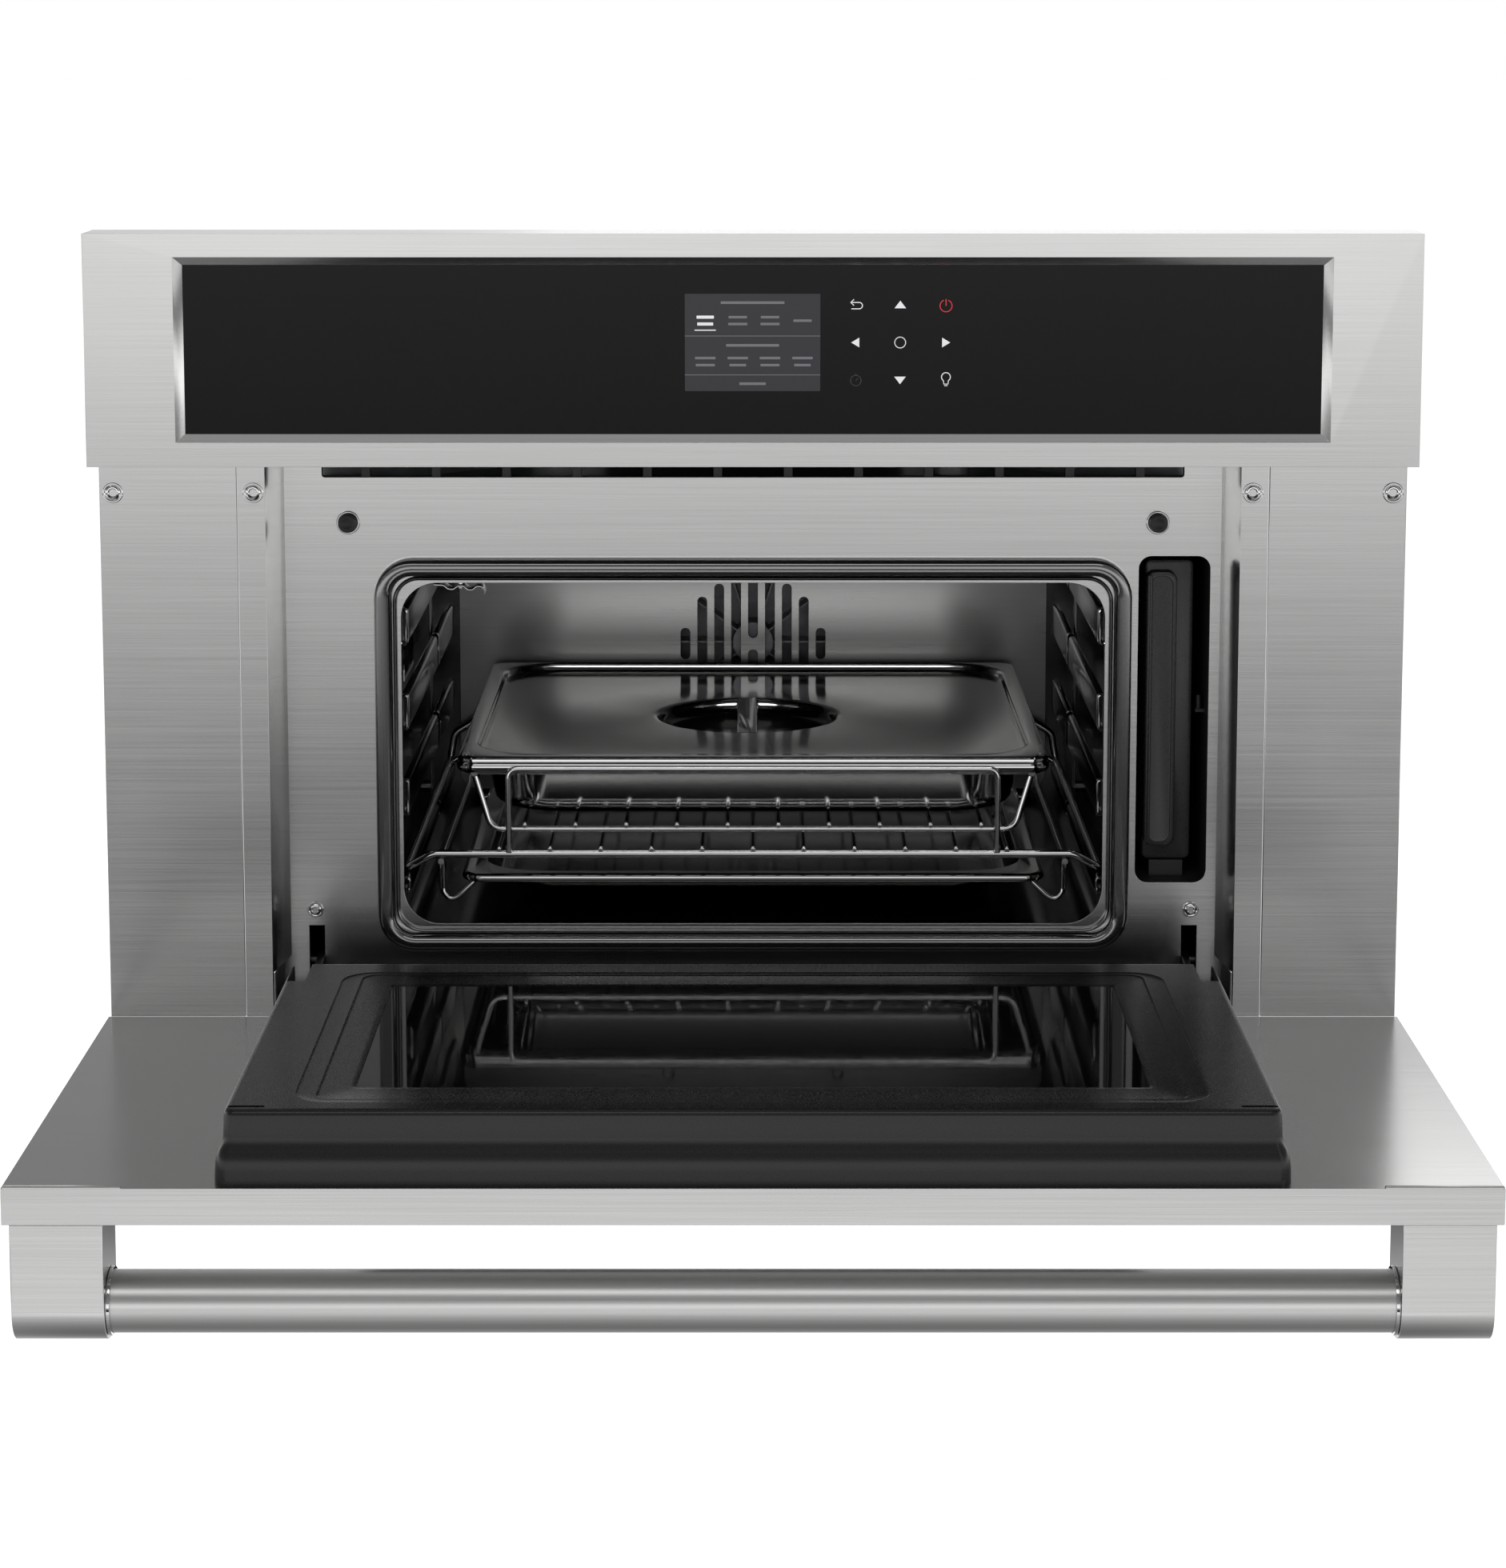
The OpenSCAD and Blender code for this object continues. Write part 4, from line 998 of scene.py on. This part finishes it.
# %% [markdown]
# ## Wire rack
#
# The rack is welded from drawn steel wire: a frame with cross wires, a raised cradle that holds
# the upper pan, a hoop in front of the lid, and four hooks for the lower pan. A wire is a path
# swept with a circle. Its corners are turned on a bending jig, so each corner is an arc. The cut
# ends of the cross wires are ground round, and each shows as a bright point.

# %% Rack
def mirrored(points):
    """The path continued on the other side of the middle."""
    return points + [(-x, y, z) for x, y, z in reversed(points)]


def wire(points, radius, bend=0):
    """One open wire, as wire_object takes it."""
    return points, radius, bend, False


rack_wires = [
    wire(mirrored([(192, 428, 95), (208, 428, 85), (211, 428, 66.6), (211, 97, 66.6), (196, 97, 75)]),
         2.6, 3.5),
    wire([(-192, 428, 95), (192, 428, 95)], 2.6),
    wire(mirrored([(208, 418, 67.5), (196, 418, 75)]), 2.0, 6),
    wire(mirrored([(169.5, 101, 122.4), (160, 101, 89.5)]), 1.9, 8),
    wire(mirrored([(169.5, 416, 122.4), (160, 416, 89.5)]), 1.9, 8),
    wire(mirrored([(149, 94.9, 76.5), (149, 94.9, 128)]), 1.9, 6),
]
for side, sign in sides:
    rack_wires.append(wire([(sign * 190.5, 95, 70.4), (sign * 190.5, 420, 70.4)], 1.9))
    rack_wires.append(wire([(sign * 170, 99, 124.8), (sign * 170, 418, 124.8)], 2.2))
    rack_wires.append(wire([(sign * 149, 416, 76), (sign * 149, 416, 89)], 2.2))
    for y in (104, 400):
        hook = [(190.5, 70.4), (190.5, 50), (186, 45), (181, 46.5), (171, 56)]
        rack_wires.append(wire([(sign * x, y, z) for x, z in hook], 1.7, 4))

# Cross wires 31 mm apart: a lower row from edge to edge, an upper row in the cradle between them.
pitch = 31
cross_wires = [(pitch * k, 95, 420, 78.6) for k in range(-5, 6)]
cross_wires += [(pitch * (k + 0.5), 99, 418, 92.6) for k in range(-5, 5)]
rack_wires += [wire([(x, front, z), (x, back, z)], 1.5) for x, front, back, z in cross_wires]
rack = wire_object("rack_wires", rack_wires, chrome, "rack", "chrome", ("wire_rack",))
tip_profile = ((1.5, -0.6), (1.5, 0.0), (1.3, 0.5), (0.8, 0.9), (0.1, 1.05))
domes = [([(circle(r, steps=4), front - 0.4 - proud) for r, proud in tip_profile], facing(x, z))
         for x, front, back, z in cross_wires]
merged("wire_tips", domes, chrome, "rack", "chrome")
print("rack wires:", len(rack_wires), "faces:", len(rack.data.polygons))

# %% [markdown]
# ## Door
#
# The door lies open. Its liner is one deep pressing in black enamel: walls that flare to the
# hinge plane, a stepped front, and two fine creases round the window. The rings run from the
# foot of the wall over the top to the window's edge and back underneath, so the sheet is a
# closed shape and slots can be cut through it cleanly.

# %% Liner
liner_mid_y = -172.4
liner_wall = ((0.0, 1.0), (0.25, 8.0), (0.6, 12.0), (1.3, 15.2), (2.3, 17.6), (3.3, 19.6), (4.0, 21.8),
              (4.4, 24.5), (4.9, 35.4), (5.4, 37.2), (6.3, 38.1), (7.6, 38.5), (9.5, 38.5))
liner_steps = ((234.2, 128.6, 19, 38.5, -3.4), (233.7, 128.1, 18.5, 38.15, -3.4),
               (232.8, 127.2, 18, 37.85, -3.4), (223.4, 123.2, 9, 37.95, -1.2),
               (222.7, 122.6, 8.5, 37.5, -1.2), (221.8, 121.7, 8, 37.35, -1.2),
               (208.0, 104.4, 5, 37.5, -0.6), (205.2, 101.6, 3, 37.3, -0.6),
               (204.5, 100.9, 2.5, 36.98, -0.6), (206.0, 102.4, 3, 36.95, -0.6),
               (262.0, 141.0, 5, 36.9, 0), (267.0, 145.6, 5, 20.0, 0), (270.0, 149.0, 6, 2.0, 0))
liner_rings = [(round_rect(272 - inset, 151 - inset, max(8.0 - inset * 0.4, 4.0)), z)
               for inset, z in liner_wall]
liner_rings += stepped(liner_steps)
liner = ring_piece("liner_pressing", liner_rings, lying(0, liner_mid_y), enamel, "door", "black_enamel",
                   ("door_liner",), closed=True)
# Slots on each side: centre x and y, half width, half depth, corner, and the heights cut between.
slots = ((260.25, -38.5, 5.15, 28.5, 1.2, 5, 46), (255.9, -311.5, 9.5, 1.55, 1.5, 30, 46),
         (259.5, -20.5, 9.0, 10.5, 0.6, -1, 14))
cutters = []
for side, sign in sides:
    for x, y, half_w, half_d, corner, z0, z1 in slots:
        rings = [(round_rect(half_w, half_d, corner), z) for z in (z0, z1)]
        cutters.append(ring_mesh("slot", rings, lying(sign * x, y), caps=(True, True)))
cut(liner, cutters)
print("liner faces:", len(liner.data.polygons), "slots:", len(cutters))

# %% [markdown]
# The outer skin and the handle's brackets are the solids with soft folds. The window's panes are
# nearly black from inside, because the outer pane is tinted and nothing behind it is lit; the inner
# pane is given the outer pane's dark opaque glass, painted shade for that. A bright collar sits at
# each end of the bar, and the skin's front edge is hemmed beside the brackets.

# %% Skin, panes and handle
def finish_node(node, material):
    """Give a plain solid that stays in view its material."""
    solid = nodes[node]
    if not solid.material_slots:
        solid.data.materials.append(material)
    for place in solid.material_slots:
        place.material = material


softened("door_skin", 0.9, steel_x, "door", 3)
for side in ("left", "right"):
    softened("handle_bracket_" + side, 1.1, steel_x, "door", 3)
finish_node("handle_bar", bar_steel)
# Painted shade: the inner pane takes the dark glass for the dark space behind it, though it is clear.
finish_node("inner_glass", tint_and_shade_glass)
finish_node("middle_glass", pane)
finish_node("outer_glass", tint_and_shade_glass)
collar_profile = ((16.2, 326.8), (17.4, 326.6), (17.6, 325.8), (17.4, 325.0), (16.2, 324.8))
for side, sign in sides:
    ring_piece("bar_collar_" + side, [(circle(r), x) for r, x in collar_profile],
               lambda a, b, level, s=sign: (s * level, -309.7 + a, -64 + b),
               chrome, "door", "chrome", closed=True)
    hem = [(round_rect(30.0 - i, 1.1 - 0.3 * i, 0.6 - 0.2 * i, 4), z)
           for i, z in ((0, 0.2), (0, 1.7), (0.7, 2.1))]
    ring_piece("skin_hem_" + side, hem, lying(sign * 347.4, -327.4),
               steel_x, "door", "stainless", caps=(True, True))

# %% [markdown]
# The open door lies below most of the lamps, and its front edge faces a dark part of the room.
# One low, wide lamp brightens that edge. Light linking limits it to the door's own pieces, so
# the rest of the oven keeps its tones.

# %% Lamp for the door's front
front_light = soft_panel("door_front_light", (0.0, -0.98, -0.19), (0.0, -0.33, -0.03), (1.5, 0.26), 0.50)
front_light.visible_camera = False
lit_door = bpy.data.collections.new("door_front_receivers")
lit_names = ("soft_door_skin", "soft_handle", "skin_hem", "liner_pressing")
for piece in [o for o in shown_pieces() if o.name.startswith(lit_names)]:
    lit_door.objects.link(piece)
lit_door.objects.link(nodes["handle_bar"])
front_light.light_linking.receiver_collection = lit_door

# %% [markdown]
# Each hinge link swings between the oven and the door. Its nib, the small tongue on its inner
# face, shows through the slot in the door's liner.

# %% Hinge links
softened("hinge_links", 0.6, dark_steel, "hinge_link_pair")
for side, sign in sides:
    nib = [(round_rect(2.4, 3.6, 0.8, 4), x) for x in (255.6, 260.9)]
    ring_piece("link_nib_" + side, nib, lambda a, b, level, s=sign: (s * level, 5.2 + b, 18.6 + a),
               dark_steel, "hinge_link_pair", "dark_steel", caps=(True, True))

# %% [markdown]
# ## Water tank
#
# The tank is a smoked plastic box that slides out by its grip plate. The plate stands in front
# of the box, paler than the dark slot round it, with rounded outer corners.

# %% Tank
box_steps = ((1.6, 62.0), (0.5, 62.5), (0.0, 63.8), (0.0, 328.0), (1.2, 330.0))
grip_steps = ((0.0, 63.0), (0.0, 53.6), (0.4, 52.6), (1.4, 52.1), (2.4, 52.0), (2.8, 52.5), (3.4, 52.6))
edge_steps = ((0.0, 53.0), (0.0, 51.4), (0.5, 51.0))
tank_parts = [([(round_rect(half_w - i, half_h - i, corner), y) for i, y in steps], facing(x, z))
              for half_w, half_h, corner, steps, x, z in (
                  (14.5, 91, 3.5, box_steps, 248, 171), (9.15, 83, 5.5, grip_steps, 242.65, 173),
                  (1.6, 81, 1.2, edge_steps, 235.6, 173))]
tank = merged("tank_box", tank_parts, tank_plastic, "tank", "tank_plastic")
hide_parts("water_tank")
print("tank faces:", len(tank.data.polygons))

# %% [markdown]
# ## Parts that keep their plain solids
#
# Motors, pipes, brackets and boards are seen only when the casing is off, and their solids are
# already the right shape. Each still gets the finish that such a part has.

# %% Finishes of the inner parts
inner_finishes = (
    (black_plastic, "vent_grille tank_housing tank_coupling terminal_box water_pump display_module"),
    (galvanised, "fan_motor blower_housing blower_motor air_duct hinge_channels glass_rails"),
    (dark_steel, "ring_heater fan_wheel hinge_bracket_left hinge_bracket_right hinge_springs"),
    (aluminium, "blower_wheel exhaust_pipe steam_generator steam_pipe"),
    (chrome, "hinge_pins handle_screws"), (panel_glass, "control_glass"),
    (board_green, "control_board"), (cavity_steel, "cavity_shell"), (felt, "insulation_wrap"),
    (pane, "oven_lamp"), (hose_rubber, "supply_hose"),
)
for material, names in inner_finishes:
    for node in names.split():
        finish_node(node, material)
print("plain solids finished:", sum(len(names.split()) for material, names in inner_finishes))
